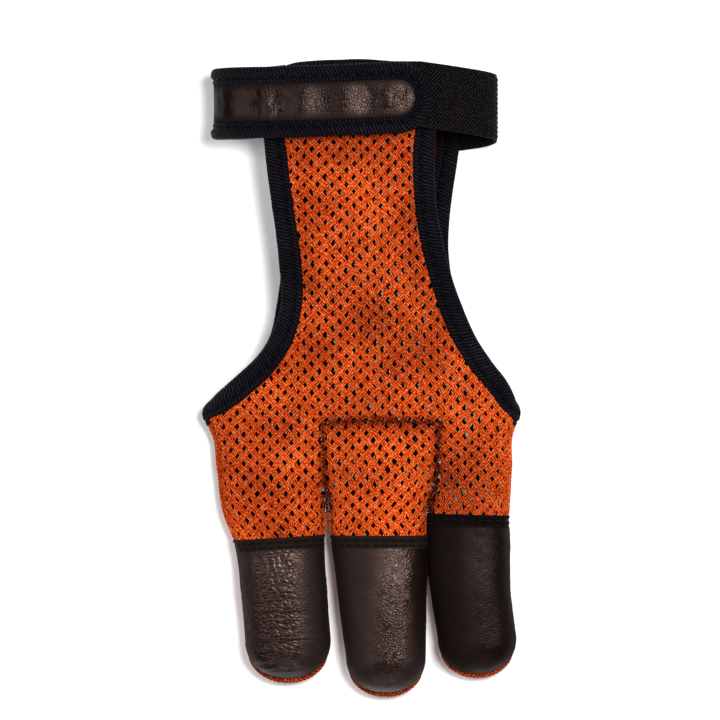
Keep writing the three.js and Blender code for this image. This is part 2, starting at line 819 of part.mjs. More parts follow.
// Middle line of the tab's tape: along the lower edge, round the end and back along the upper edge
function tabTapeRings(width, thickness) {
  const inset = tabTapeWidth / 2;
  const centre = tabEndX - tabEndRadius;
  const straight = tabLine.filter(({ point }) => point.z < tabSection.seam || point.x < centre);
  const run = (side) => straight.map((place) => new THREE.Vector3(
    place.point.x, tabMiddleY + tabShift(place) + side * (tabWidth / 2 - inset), place.point.z,
  ));
  const end = steps(11).slice(1, -1).map((part) => {
    const angle = (part - 0.5) * Math.PI;
    const x = centre + Math.cos(angle) * (tabEndRadius - inset);
    const surface = sectionSurface(tabSection, x, true);
    const y = tabMiddleY + Math.sin(angle) * (tabWidth / 2 - inset);
    return new THREE.Vector3(x, y, surface.point.z);
  });
  const path = [...run(-1), ...end, ...run(1).reverse()];
  return path.map((point, i) => {
    const ahead = path[Math.min(i + 1, path.length - 1)];
    const tangent = new THREE.Vector3().subVectors(ahead, path[Math.max(i - 1, 0)]);
    const u = (point.x - tabSection.middle) / tabSection.half;
    const upper = point.z > tabSection.seam;
    const normal = Math.abs(u) > sideShare
      ? new THREE.Vector3(Math.sign(u), 0, (point.z - tabSection.seam) / tabSection.rise)
      : sectionSurface(tabSection, point.x, upper).normal;
    return tapeRing(point, tangent.normalize(), normal, width, thickness);
  });
}

function material(color, roughness) {
  return new THREE.MeshStandardMaterial({ color, roughness, metalness: 0 });
}

const netMaterial = material('#dd5a24', 0.75);
const leatherMaterial = material('#2c2223', 0.45);
const tapeMaterial = material('#17161f', 0.85);
const elasticMaterial = material('#121213', 0.9);

const group = new THREE.Group();

function addNode(name, body, finish) {
  const mesh = body.getMesh();
  const geometry = new THREE.BufferGeometry();
  geometry.setAttribute('position', new THREE.BufferAttribute(new Float32Array(mesh.vertProperties), 3));
  geometry.setIndex(new THREE.BufferAttribute(new Uint32Array(mesh.triVerts), 1));
  geometry.computeVertexNormals();
  const node = new THREE.Mesh(geometry, finish);
  node.name = name;
  group.add(node);
}

const front = frontNet();
addNode('front_panel', frontPanel(front), netMaterial);
addNode('middle_finger_panel', middlePanel(front), netMaterial);
addNode('back_panel', backPanel(), netMaterial);
for (const finger of fingers) addNode(`${finger.name}_tip_leather`, leatherTip(finger), leatherMaterial);

addNode('front_edge_tape', tapeBody(frontTape), tapeMaterial);
addNode('back_edge_tape', tapeBody(backTape), tapeMaterial);

addNode('wrist_tab_tape', loft(tabTapeRings(tabTapeWidth, tapeThickness)), tapeMaterial);
const baseRoom = 2 * clearance;
const baseWidth = tabWidth - 2 * (tabTapeWidth + baseRoom);
const baseEnd = tabEndX - tabTapeWidth - baseRoom;
const baseLine = tabLine.filter((place) => place.point.z < tabSection.seam || place.point.x < baseEnd);
const strapTurn = {
  shift: tabShift,
  middleY: tabMiddleY,
  width: (place) => roundedWidth(place, baseWidth, baseEnd),
};
const baseOffset = tapeThickness / 2 - leatherSink - tabLeatherThickness - clearance - tabBaseThickness / 2;
const tabBase = strapBody(baseLine, { ...strapTurn, thickness: tabBaseThickness, offset: baseOffset });
addNode('wrist_tab_base', tabBase, tapeMaterial);
const leatherOffset = baseOffset + tabBaseThickness / 2 + clearance + tabLeatherThickness / 2;
const tabLeather = strapBody(baseLine, {
  ...strapTurn, thickness: tabLeatherThickness, offset: leatherOffset,
});
addNode('wrist_tab_leather', tabLeather, leatherMaterial);
const hookLine = tabLine.filter(({ point }) => (
  point.z > tabSection.seam && point.x > baseEnd - hookLength && point.x < baseEnd - clearance
));
addNode('hook_patch', strapBody(hookLine, {
  shift: tabShift,
  middleY: tabMiddleY,
  width: () => hookWidth,
  thickness: hookThickness,
  offset: baseOffset - tabBaseThickness / 2 - clearance - hookThickness / 2,
}), tapeMaterial);
addNode('elastic_strap', strapBody(elasticLine, {
  shift: elasticShift,
  middleY: elasticMiddleY,
  width: () => elasticWidth,
  thickness: elasticThickness,
  offset: 0,
}), elasticMaterial);

// The origin is the middle of the footprint, on the surface that the glove lies on
const footprint = new THREE.Box3().setFromObject(group);
const footprintMiddle = footprint.getCenter(new THREE.Vector3());
group.position.set(-footprintMiddle.x, -footprintMiddle.y, -footprint.min.z);
group.updateMatrixWorld(true);

export default group;
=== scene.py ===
# %% [markdown]
# # Archery glove
# A three-finger archery glove lies on the back of the hand, leather side up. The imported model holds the
# pieces at their real size. This scene knits its net, rolls its tape, grains its leather and weaves its
# elastic over them, in the same frame: metres, +Z up, the wrist towards +Y.

# %% Frame
import math

import bpy
import numpy as np
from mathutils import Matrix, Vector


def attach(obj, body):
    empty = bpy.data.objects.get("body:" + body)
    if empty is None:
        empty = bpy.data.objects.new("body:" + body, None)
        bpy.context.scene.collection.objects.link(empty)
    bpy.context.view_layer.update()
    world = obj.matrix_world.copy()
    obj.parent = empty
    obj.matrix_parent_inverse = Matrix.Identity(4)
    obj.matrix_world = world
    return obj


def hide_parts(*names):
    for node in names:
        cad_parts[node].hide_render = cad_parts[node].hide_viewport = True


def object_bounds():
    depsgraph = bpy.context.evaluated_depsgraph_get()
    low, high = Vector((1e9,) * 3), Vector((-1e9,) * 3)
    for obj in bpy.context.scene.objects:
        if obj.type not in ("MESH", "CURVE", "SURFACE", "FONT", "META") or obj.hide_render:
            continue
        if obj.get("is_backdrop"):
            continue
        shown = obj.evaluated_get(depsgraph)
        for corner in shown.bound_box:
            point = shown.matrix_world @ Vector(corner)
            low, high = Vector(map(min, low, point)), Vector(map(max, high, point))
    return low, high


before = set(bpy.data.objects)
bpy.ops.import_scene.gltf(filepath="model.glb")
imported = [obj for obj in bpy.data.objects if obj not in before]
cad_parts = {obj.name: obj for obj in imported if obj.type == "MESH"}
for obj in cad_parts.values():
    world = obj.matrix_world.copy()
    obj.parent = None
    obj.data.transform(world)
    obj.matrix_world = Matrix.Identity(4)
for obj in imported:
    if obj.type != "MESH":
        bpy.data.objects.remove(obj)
cad_low, cad_high = (list(corner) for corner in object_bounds())
print("pieces of the frame:", len(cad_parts))

# %% [markdown]
# ## Sizes
# Every length below is in millimetres. The length and the half width set the size of the whole glove, and
# the thicknesses and powers say how full its sections are.

# %% Measures
MM = 0.001
GLOVE_LENGTH = 197.6
HALF_WIDTH = 49.6
WRIST_DEPTH = 23.0
STALL_DEPTH = 14.0
SEAM_HEIGHT = 6.5
NET_THICKNESS = 1.6
LEATHER_THICKNESS = 1.4
LEATHER_RISE = 1.6
CROWN_POWER = 2.6
PALM_FLAT = 0.7
STALL_FLAT = 0.45
TIP_POWER = 2.2
TIP_RIM = 1.3
TAPE_WIDTH = 6.8
TAPE_PINCH = 0.4
TAPE_WRAP = 12.0
FOOTPRINT_SHIFT = (-0.21, -0.11)
print("glove length", GLOVE_LENGTH, "mm, palm width", 2 * HALF_WIDTH, "mm")

# %% [markdown]
# ## Charts of palm and fingers
# The tables hold shares, as a tailor's chart does: "at" is a share of the glove's length from the
# fingertips, the other columns are shares of half its width or of a depth. The same charts drive the net,
# the leather and the tape, so they meet.

# %% Charts of the form
PALM = [
    dict(at=1.000, left=-0.850, right=0.812, depth=1.00),
    dict(at=0.874, left=-0.862, right=0.825, depth=0.97),
    dict(at=0.717, left=-0.895, right=0.870, depth=0.88),
    dict(at=0.560, left=-0.945, right=0.935, depth=0.78),
    dict(at=0.445, left=-0.975, right=0.975, depth=0.70),
    dict(at=0.403, left=-0.915, right=0.940, depth=0.66),
    dict(at=0.360, left=-0.900, right=0.942, depth=0.62),
    dict(at=0.325, left=-0.885, right=0.935, depth=0.55),
    dict(at=0.294, left=-0.862, right=0.920, depth=0.46),
]
INDEX = dict(name="index", tip_end=0.022, hem=0.2510, hem_slope=0.06, rows=[
    dict(at=0.400, left=-0.880, right=-0.200, depth=0.78),
    dict(at=0.340, left=-0.887, right=-0.206, depth=0.98),
    dict(at=0.290, left=-0.859, right=-0.219, depth=1.02),
    dict(at=0.246, left=-0.794, right=-0.228, depth=0.98),
    dict(at=0.184, left=-0.756, right=-0.219, depth=1.00),
    dict(at=0.090, left=-0.725, right=-0.188, depth=0.94),
])
MIDDLE = dict(name="middle", tip_end=0.000, hem=0.2541, hem_slope=0.0, rows=[
    dict(at=0.400, left=-0.225, right=0.480, depth=0.80),
    dict(at=0.340, left=-0.220, right=0.468, depth=1.02),
    dict(at=0.290, left=-0.200, right=0.416, depth=1.06),
    dict(at=0.246, left=-0.188, right=0.410, depth=1.03),
    dict(at=0.184, left=-0.156, right=0.412, depth=1.05),
    dict(at=0.064, left=-0.094, right=0.406, depth=0.98),
])
RING = dict(name="ring", tip_end=0.030, hem=0.2871, hem_slope=-0.03, rows=[
    dict(at=0.400, left=0.480, right=0.925, depth=0.76),
    dict(at=0.340, left=0.450, right=0.935, depth=0.96),
    dict(at=0.290, left=0.428, right=0.925, depth=1.00),
    dict(at=0.246, left=0.428, right=0.931, depth=0.98),
    dict(at=0.168, left=0.434, right=0.934, depth=1.00),
    dict(at=0.093, left=0.480, right=0.972, depth=0.94),
])
FINGERS = [INDEX, MIDDLE, RING]
DENTS = [
    dict(at=0.560, x=0.200, reach=0.75, drop=0.09),
    dict(at=0.350, x=-0.600, reach=0.55, drop=0.06),
    dict(at=0.480, x=-0.300, reach=0.70, drop=0.05),
    dict(at=0.700, x=-0.050, reach=0.80, drop=0.05),
]
MIDDLE_SEAMS = [
    dict(at=0.2940, left=-0.212, right=0.425),
    dict(at=0.3400, left=-0.225, right=0.468),
    dict(at=0.4180, left=-0.238, right=0.487),
]
MIDDLE_SEAM_TOP = 0.4295
MIDDLE_SEAM_RISE = 0.004
print("fingers:", [finger["name"] for finger in FINGERS])

# %% [markdown]
# ## Lines of the tapes
# The middle lines of the tapes are measured off the form at a few places between side point and wrist. Each
# pair is a share of the length and a share of half the width.

# %% Tape lines
TAPE_TURN = 0.4345
FRONT_LEFT = [
    (0.4455, -0.956), (0.4590, -0.881), (0.4878, -0.738), (0.5224, -0.591), (0.5600, -0.497),
    (0.6165, -0.431), (0.6918, -0.444), (0.7671, -0.484), (0.8424, -0.522), (0.9300, -0.545),
    (0.9605, -0.500), (0.9742, -0.400),
]
FRONT_RIGHT = [
    (0.4455, 0.965), (0.4590, 0.925), (0.4850, 0.862), (0.5224, 0.744), (0.5600, 0.648),
    (0.6165, 0.550), (0.6918, 0.459), (0.7671, 0.403), (0.8424, 0.390), (0.9300, 0.405),
    (0.9605, 0.365), (0.9742, 0.265),
]
BACK_LEFT = [
    (0.4455, -0.956), (0.4590, -0.890), (0.4878, -0.750), (0.5224, -0.605), (0.5600, -0.510),
    (0.6165, -0.462), (0.7170, -0.412), (0.8424, -0.388), (0.9200, -0.388), (0.9560, -0.345),
    (0.9690, -0.255),
]
BACK_RIGHT = [
    (0.4455, 0.965), (0.4590, 0.925), (0.4850, 0.862), (0.5224, 0.744), (0.5600, 0.640),
    (0.6165, 0.541), (0.6918, 0.485), (0.7671, 0.495), (0.8580, 0.547), (0.9200, 0.562),
    (0.9560, 0.520), (0.9690, 0.430),
]
print("places measured on the tapes:", sum(len(r) for r in (FRONT_LEFT, FRONT_RIGHT, BACK_LEFT, BACK_RIGHT)))

# %% [markdown]
# ## Reading the charts
# Cloth has no corners where the tape measure was laid, so the values between two rows follow a smooth
# curve. The other functions turn shares into millimetres, and make soft steps and rounded sections.


# %% Chart readers
def lengthwise(share):
    """Place along the glove: the share less a half, times the glove's length."""
    return (np.asarray(share) - 0.5) * GLOVE_LENGTH


def share_of(y):
    """Share of the glove's length at a place along it: the place over the length, plus a half."""
    return np.asarray(y) / GLOVE_LENGTH + 0.5


def on_rows(knots, values, at):
    """Smooth value between rows. Each row's slope is the rise between its neighbours over their
    distance, and a cubic with those slopes joins two rows."""
    order = np.argsort(knots)
    knots, values = np.asarray(knots)[order], np.asarray(values)[order]
    last = len(knots) - 1
    before, after = np.maximum(np.arange(last + 1) - 1, 0), np.minimum(np.arange(last + 1) + 1, last)
    slope = (values[after] - values[before]) / (knots[after] - knots[before])
    at = np.clip(at, knots[0], knots[-1])
    i = np.clip(np.searchsorted(knots, at) - 1, 0, last - 1)
    span = knots[i + 1] - knots[i]
    t = (at - knots[i]) / span
    start, end = (1 + 2 * t) * (1 - t) ** 2, t * t * (3 - 2 * t)
    leaving, arriving = t * (1 - t) ** 2 * span * slope[i], t * t * (t - 1) * span * slope[i + 1]
    return start * values[i] + end * values[i + 1] + leaving + arriving


def column(rows, name, at):
    """Column of a chart at a share of the length, on the smooth curve through its rows."""
    return on_rows([row["at"] for row in rows], [row[name] for row in rows], at)


def smoothstep(low, high, value):
    """Rises from 0 at low to 1 at high with level ends: three t squared less two t cubed."""
    t = np.clip((value - low) / (high - low), 0, 1)
    return t * t * (3 - 2 * t)


def bell(value, reach):
    """1 at zero and fading on both sides: e to the minus of the squared value over its reach."""
    return np.exp(-((value / reach) ** 2))


def crown(u):
    """Height of a superellipse of unit size at the distance u from its middle."""
    return (1 - u ** CROWN_POWER) ** (1 / CROWN_POWER)


def filled_out(c, power=CROWN_POWER):
    """Sine or cosine filled out to a superellipse: its size to the power of two over the given one."""
    return np.sign(c) * np.abs(c) ** (2 / power)


widest = HALF_WIDTH * (column(PALM, "right", 0.445) - column(PALM, "left", 0.445))
print("the palm is %.1f mm wide at its widest" % widest)

# %% [markdown]
# ## The surface of the hand
# A pattern cutter would stretch the net over a form, a last. Here the last is a height over the table:
# the palm's tube and the three stalls, melted together where they meet. A sculpted mesh would do as well,
# but a formula can be asked for its height and slope anywhere, which the knitting below needs.


# %% Heights of the form
FAR_BELOW = -60.0
PALM_FALL = 1.2
MELT = 0.7


def tube_edges(rows, y):
    """Left and right edges and top of a tube at a place along it, from its chart."""
    at = share_of(y)
    left, right = HALF_WIDTH * column(rows, "left", at), HALF_WIDTH * column(rows, "right", at)
    return left, right, column(rows, "depth", at)


def stall_frame(finger, y):
    """Middle, half width, rise and shrink of a stall. Past the shoulder the section shrinks as a
    superellipse: one less the distance over the tip's length to a power, to one over that power."""
    shoulder = finger["rows"][-1]["at"]
    left, right, depth = tube_edges(finger["rows"], y)
    tip_length = (shoulder - finger["tip_end"]) * GLOVE_LENGTH
    past = np.clip((lengthwise(shoulder) - y) / tip_length, 0, 1)
    shrink = (1 - past ** TIP_POWER) ** (1 / TIP_POWER)
    return (left + right) / 2, (right - left) / 2, STALL_DEPTH * depth - SEAM_HEIGHT, shrink


def dome(x, middle, half, rise):
    """Height of a tube's upper half: seam height plus the rise times the superellipse of the distance
    from its middle, and far below outside of it."""
    u = np.abs(x - middle) / np.maximum(half, 1e-6)
    return np.where(u < 1, SEAM_HEIGHT + rise * crown(np.minimum(u, 1)), FAR_BELOW)


def dent_drop(x, y):
    """Sum of soft hollows: each drop times the bell of the distance from its middle."""
    drop = 0.0
    for dent in DENTS:
        away = np.hypot(x - dent["x"] * HALF_WIDTH, y - lengthwise(dent["at"]))
        drop = drop + dent["drop"] * WRIST_DEPTH * bell(away, dent["reach"] * WRIST_DEPTH)
    return drop


def hand_top(x, y):
    """Height of the front layer: the logarithm of the sum of exponentials melts palm and stalls
    together, and the dents are taken off. Past its last row the palm falls away steeply."""
    x, y = np.broadcast_arrays(x, y)
    left, right, depth = tube_edges(PALM, y)
    past_palm = np.maximum(lengthwise(PALM[-1]["at"]) - y, 0)
    palm = dome(x, (left + right) / 2, (right - left) / 2, WRIST_DEPTH * depth - SEAM_HEIGHT)
    heights = [palm - PALM_FALL * past_palm]
    for finger in FINGERS:
        middle, half, rise, shrink = stall_frame(finger, y)
        on_finger = share_of(y) < finger["rows"][0]["at"]
        heights.append(np.where(on_finger, dome(x, middle, half * shrink, rise * shrink), FAR_BELOW))
    heights = np.stack(heights)
    peak = heights.max(axis=0)
    return peak + MELT * np.log(np.exp((heights - peak) / MELT).sum(axis=0)) - dent_drop(x, y)


print("height of the palm's middle: %.1f mm" % hand_top(np.array(0.0), np.array(0.0)))

# %% [markdown]
# ## Charts of the cloth
# Cloth keeps its length when it bends round a form, so a pattern is laid out by distance along the cloth
# and not by what a camera sees. A chart holds, for each place along the glove, the curve across it,
# measured off in equal steps of cloth. Anything drawn in flat millimetres is then looked up in it.

# %% A chart
CHART_REACH = 70.0
CHART_STEPS = 561
CHART_GRID = np.linspace(-CHART_REACH, CHART_REACH, CHART_STEPS)


def make_chart(y, x, z, reference):
    """Measures each row's curve: running sums of step lengths give the distance along the cloth, zero
    at the reference, and both coordinates are read off at equal distances."""
    steps = np.hypot(np.diff(x, axis=1), np.diff(z, axis=1))
    distance = np.concatenate([np.zeros((len(y), 1)), np.cumsum(steps, axis=1)], axis=1)
    zero = np.array([np.interp(reference[j], x[j], distance[j]) for j in range(len(y))])
    distance -= zero[:, None]
    even_x = np.array([np.interp(CHART_GRID, distance[j], x[j]) for j in range(len(y))])
    even_z = np.array([np.interp(CHART_GRID, distance[j], z[j]) for j in range(len(y))])
    return dict(y=y, x=even_x, z=even_z, low=distance[:, 0], high=distance[:, -1])


def look_up(chart, s, y):
    """Point of a chart at a distance across and a place along, by mixing the four nearest entries."""
    last_row = len(chart["y"]) - 1.001
    row = np.clip((y - chart["y"][0]) / (chart["y"][1] - chart["y"][0]), 0, last_row)
    step = np.clip((s + CHART_REACH) / (2 * CHART_REACH) * (CHART_STEPS - 1), 0, CHART_STEPS - 1.001)
    j, k = row.astype(int), step.astype(int)
    past_row, past_step = row - j, step - k

    def mixed(table):
        """Mean of four entries, each weighted by how near the place is to it."""
        upper = table[j, k] * (1 - past_step) + table[j, k + 1] * past_step
        lower = table[j + 1, k] * (1 - past_step) + table[j + 1, k + 1] * past_step
        return upper * (1 - past_row) + lower * past_row

    return np.stack([mixed(chart["x"]), y + 0 * s, mixed(chart["z"])], axis=-1)


def within(chart, s, y, margin=0.0):
    """Whether a place lies on the chart: between its two ends less a margin, and between its rows."""
    low = np.interp(y, chart["y"], chart["low"])
    high = np.interp(y, chart["y"], chart["high"])
    return (s > low + margin) & (s < high - margin) & (y > chart["y"][0]) & (y < chart["y"][-1])


print("a chart is read off every %.2f mm of cloth" % (CHART_GRID[1] - CHART_GRID[0]))

# %% [markdown]
# ## Eight charts
# Palm and neck have one chart in front and one behind, and so has each finger. A finger's chart is numbered
# on from the palm's, so that a yarn can run from one to the other without a jump.

# %% Cloth charts
PALM_CHART_START = 0.285
STALL_CHART_END = 0.41
STALL_ZERO = 0.34
PALM_ROW = 1.0
FRONT_ROW = 0.5
BACK_ROW = 0.4
DENTED_ABOVE = 1.0
CURL_UP = 0.12
CURL_HEIGHT = 1.2
CURVE_POINTS = 181


def superellipse_across(middle, half):
    """Places across a tube, crowded towards its edges: the filled out cosine."""
    c = np.cos(np.linspace(math.pi, 0, CURVE_POINTS))
    return middle[:, None] + half[:, None] * filled_out(c)


def front_palm_chart():
    """Chart of the front layer from the wrist to below the crotches."""
    y = np.arange(lengthwise(PALM_CHART_START), lengthwise(1.0) + PALM_ROW, PALM_ROW)
    left, right, _ = tube_edges(PALM, y)
    x = superellipse_across((left + right) / 2, (right - left) / 2)
    z = hand_top(x, y[:, None] + 0 * x)
    z[:, [0, -1]] = SEAM_HEIGHT
    return make_chart(y, x, np.maximum(z, SEAM_HEIGHT), 0 * y)


def stall_front_chart(finger, start):
    """Chart of a stall's front from its root to the shoulder, numbered on from the palm's chart."""
    y = np.arange(lengthwise(finger["rows"][-1]["at"]) - 2, lengthwise(STALL_CHART_END), FRONT_ROW)
    middle, half, rise, shrink = stall_frame(finger, y)
    x = superellipse_across(middle, half * shrink)
    z = dome(x, middle[:, None], (half * shrink)[:, None], (rise * shrink)[:, None])
    z[:, [0, -1]] = SEAM_HEIGHT
    z = z - dent_drop(x, y[:, None]) * (z > SEAM_HEIGHT + DENTED_ABOVE)
    return dict(make_chart(y, x, np.maximum(z, SEAM_HEIGHT), middle), start=start)


def sole_curve(middle, half, drop, flat, lift):
    """Curve under a tube, from seam to seam: level in the middle and a quarter ellipse at each corner.
    lift, an angle, carries the curve on above the seams."""
    turn = np.linspace(math.pi, 2 * math.pi, CURVE_POINTS)[None, :]
    turn = math.pi - lift[:, None] + (turn - math.pi) * (1 + 2 * lift[:, None] / math.pi)
    c, s = np.cos(turn), np.sin(turn)
    below = s <= 0
    x_below = middle[:, None] + half[:, None] * (flat * np.sign(c) + (1 - flat) * c)
    x_above = middle[:, None] + half[:, None] * filled_out(c)
    z_below = SEAM_HEIGHT + drop[:, None] * s
    z_above = SEAM_HEIGHT + drop[:, None] * CURL_HEIGHT * np.maximum(s, 0) ** (2 / CROWN_POWER)
    return np.where(below, x_below, x_above), np.where(below, z_below, z_above)


def back_palm_chart():
    """Chart of the back layer under the palm and the neck."""
    y = np.arange(lengthwise(PALM_CHART_START), lengthwise(1.0) + PALM_ROW, PALM_ROW)
    left, right, _ = tube_edges(PALM, y)
    x, z = sole_curve((left + right) / 2, (right - left) / 2, SEAM_HEIGHT + 0 * y, PALM_FLAT, 0 * y)
    return make_chart(y, x, z, 0 * y)


def stall_back_chart(finger, start):
    """Chart of the back layer under a stall. It runs up round the finger's end as the net does."""
    y = np.arange(lengthwise(finger["tip_end"]), lengthwise(STALL_CHART_END), BACK_ROW)
    middle, half, _, shrink = stall_frame(finger, y)
    lift = CURL_UP * smoothstep(0.0, 0.5, 1 - shrink)
    x, z = sole_curve(middle, half * shrink, SEAM_HEIGHT * shrink, STALL_FLAT, lift)
    return dict(make_chart(y, x, z, middle), start=start)


def start_of(chart, finger):
    """Distance across the palm's chart at a finger's middle line, where the finger's chart begins."""
    y = lengthwise(STALL_ZERO)
    middle = stall_frame(finger, y)[0]
    j = int(np.clip((y - chart["y"][0]) / (chart["y"][1] - chart["y"][0]), 0, len(chart["y"]) - 1))
    return float(np.interp(middle, chart["x"][j], CHART_GRID))


FRONT_PALM = front_palm_chart()
BACK_PALM = back_palm_chart()
FRONT_STALLS = [stall_front_chart(finger, start_of(FRONT_PALM, finger)) for finger in FINGERS]
BACK_STALLS = [stall_back_chart(finger, start_of(BACK_PALM, finger)) for finger in FINGERS]
print("cloth across the palm: %.0f mm" % (FRONT_PALM["high"] - FRONT_PALM["low"]).max())

# %% [markdown]
# ## The sewn hollow and the four layers
# The middle finger has its own piece of net, let in with a seam that pulls the cloth in. Its distance is
# worked out once, because the depth of the hollow and the dark of the yarn both follow it. Each layer of the
# glove is then one function from flat cloth to a point, which blends from the palm's chart to a finger's.

# %% Layers
SEAM_DIP = 1.2
SEAM_REACH = 1.0
SEAM_PAST = 1.0
FAR_AWAY = 9.0
DIP_FADE = (0.27, 0.30)
FRONT_KNUCKLES = (0.300, 0.355)
BACK_KNUCKLES = (0.298, 0.325)


def middle_seams(y):
    """Places across of the middle piece's two side seams."""
    at = share_of(y)
    return (HALF_WIDTH * column(MIDDLE_SEAMS, "left", at), HALF_WIDTH * column(MIDDLE_SEAMS, "right", at))


def seam_top(x):
    """Place along of the arched seam across the middle finger's root."""
    left, right = HALF_WIDTH * MIDDLE_SEAMS[-1]["left"], HALF_WIDTH * MIDDLE_SEAMS[-1]["right"]
    t = np.clip((x - left) / (right - left), 0, 1)
    return lengthwise(MIDDLE_SEAM_TOP + MIDDLE_SEAM_RISE * 4 * t * (1 - t))


def seam_distance(x, y):
    """Distance from the middle piece's seam: beside its two sides or over its arch, whichever is less."""
    left, right = middle_seams(y)
    beside = np.minimum(np.abs(x - left), np.abs(x - right))
    beside = np.where(y < seam_top(x) + SEAM_PAST, beside, FAR_AWAY)
    over = np.where((x > left - SEAM_PAST) & (x < right + SEAM_PAST), np.abs(y - seam_top(x)), FAR_AWAY)
    return np.minimum(beside, over)


def pulled_in(point):
    """Point lowered beside the middle piece's seam: the dip times the bell of the distance from it."""
    x, y = point[..., 0], point[..., 1]
    fade = smoothstep(lengthwise(DIP_FADE[0]), lengthwise(DIP_FADE[1]), y)
    point = point.copy()
    point[..., 2] -= SEAM_DIP * bell(seam_distance(x, y), SEAM_REACH) * fade
    return point


def blended(palm, stall, y, knuckles):
    """Point on the palm's chart that turns into the stall's between two shares of the length."""
    blend = 1 - smoothstep(lengthwise(knuckles[0]), lengthwise(knuckles[1]), y)
    return palm + (stall - palm) * blend[..., None]


def front_point(s, y):
    """Point of the front layer: the palm's chart, and below the knuckles the index or ring stall's."""
    index = look_up(FRONT_STALLS[0], s - FRONT_STALLS[0]["start"], y)
    ring = look_up(FRONT_STALLS[2], s - FRONT_STALLS[2]["start"], y)
    stall = np.where((s < 0)[..., None], index, ring)
    return pulled_in(blended(look_up(FRONT_PALM, s, y), stall, y, FRONT_KNUCKLES))


def middle_point(s, y):
    """Point of the middle finger's front piece: the palm's chart turning into the middle stall's."""
    palm = look_up(FRONT_PALM, s + FRONT_STALLS[1]["start"], y)
    return pulled_in(blended(palm, look_up(FRONT_STALLS[1], s, y), y, FRONT_KNUCKLES))


def back_palm_point(s, y):
    """Point of the back layer under palm and neck."""
    return look_up(BACK_PALM, s, y)


def back_stall_point(chart):
    """Returns the function for the back layer under one finger, which starts on the palm's chart."""
    def point(s, y):
        """Point under the finger: the palm's chart turning into the stall's below the knuckles."""
        palm = look_up(BACK_PALM, s + chart["start"], y)
        return blended(palm, look_up(chart, s, y), y, BACK_KNUCKLES)

    return point


print("the seam lowers the net by %.1f mm" % SEAM_DIP)

# %% [markdown]
# ## Making meshes
# Blender takes whole arrays of corners and faces at once, which is quick even for a million corners. Each
# piece is made at the origin with its place in its mesh, in metres, and then told which body it rides on,
# which plain piece of the frame it stands for and which finish it wears.


# %% Mesh helpers
def signed_volume(points, faces):
    """Volume inside the faces: the sum of the pyramids from the origin to both halves of every face, a
    sixth of the triple product each. It is negative where the faces point inwards."""
    a, b, c, d = (points[faces[:, k]] for k in range(4))
    return (a * (np.cross(b, c) + np.cross(c, d))).sum() / 6


def make_piece(name, points, faces, material, replaces=(), uv=None, shade=None):
    """Mesh object from corner points in millimetres and four-cornered faces. uv gives each corner point
    a place on the cloth, and shade a value from 0 to 1 that its material reads."""
    points, faces = np.asarray(points, float).reshape(-1, 3), np.asarray(faces, np.int64).reshape(-1, 4)
    if signed_volume(points, faces) < 0:
        faces = faces[:, ::-1]
    moved = (points + np.array([*FOOTPRINT_SHIFT, 0.0])) * MM
    mesh = bpy.data.meshes.new(name)
    mesh.vertices.add(len(points))
    mesh.vertices.foreach_set("co", moved.ravel())
    mesh.loops.add(faces.size)
    mesh.loops.foreach_set("vertex_index", faces.ravel())
    mesh.polygons.add(len(faces))
    mesh.polygons.foreach_set("loop_start", np.arange(len(faces)) * 4)
    mesh.polygons.foreach_set("use_smooth", np.ones(len(faces), bool))
    mesh.update(calc_edges=True)
    if uv is not None:
        layer = mesh.uv_layers.new(name="cloth")
        layer.data.foreach_set("uv", np.asarray(uv, float).reshape(-1, 2)[faces.ravel()].ravel())
    if shade is not None:
        layer = mesh.attributes.new("shade", "FLOAT", "POINT")
        layer.data.foreach_set("value", np.asarray(shade, float).ravel())
    piece = bpy.data.objects.new(name, mesh)
    bpy.context.scene.collection.objects.link(piece)
    piece.data.materials.append(material)
    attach(piece, "root")
    if replaces:
        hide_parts(*replaces)
    print(name, len(points), "corners", 2 * len(faces), "triangles")


def grid_faces(rows, columns, close_rows=False, close_columns=False):
    """Four-cornered faces of a grid of points, row after row, which may close on itself either way."""
    r = np.arange(rows if close_rows else rows - 1)[:, None]
    c = np.arange(columns if close_columns else columns - 1)[None, :]
    r1, c1 = (r + 1) % rows, (c + 1) % columns
    corners = [r * columns + c, r * columns + c1, r1 * columns + c1, r1 * columns + c]
    return np.stack(corners, axis=-1).reshape(-1, 4)


def joined(parts):
    """Points, faces and shades of one mesh from those of many. Each part's faces are counted on from the
    points before it."""
    starts = np.cumsum([0] + [len(points) for points, _, _ in parts])
    return (np.concatenate([points for points, _, _ in parts]),
            np.concatenate([faces + start for (_, faces, _), start in zip(parts, starts)]),
            np.concatenate([shade for _, _, shade in parts]))


def unit(v):
    """Vectors divided by their own lengths."""
    return v / np.maximum(np.linalg.norm(v, axis=-1, keepdims=True), 1e-9)


print("corners are moved by %s mm into the frame" % (FOOTPRINT_SHIFT,))

# %% [markdown]
# ## Noise without a texture
# Yarn wanders and leather wrinkles, so the meshes need soft random numbers that are the same in each run.
# Blender's own noise answers one point at a time. This one takes a whole array of points at once.

# %% Noise
HASH_STEPS = (374761393, 668265263, 1274126177)
HASH_SEED = 974634777
HASH_TURN = 1103515245
WORD = 0xFFFFFFFF


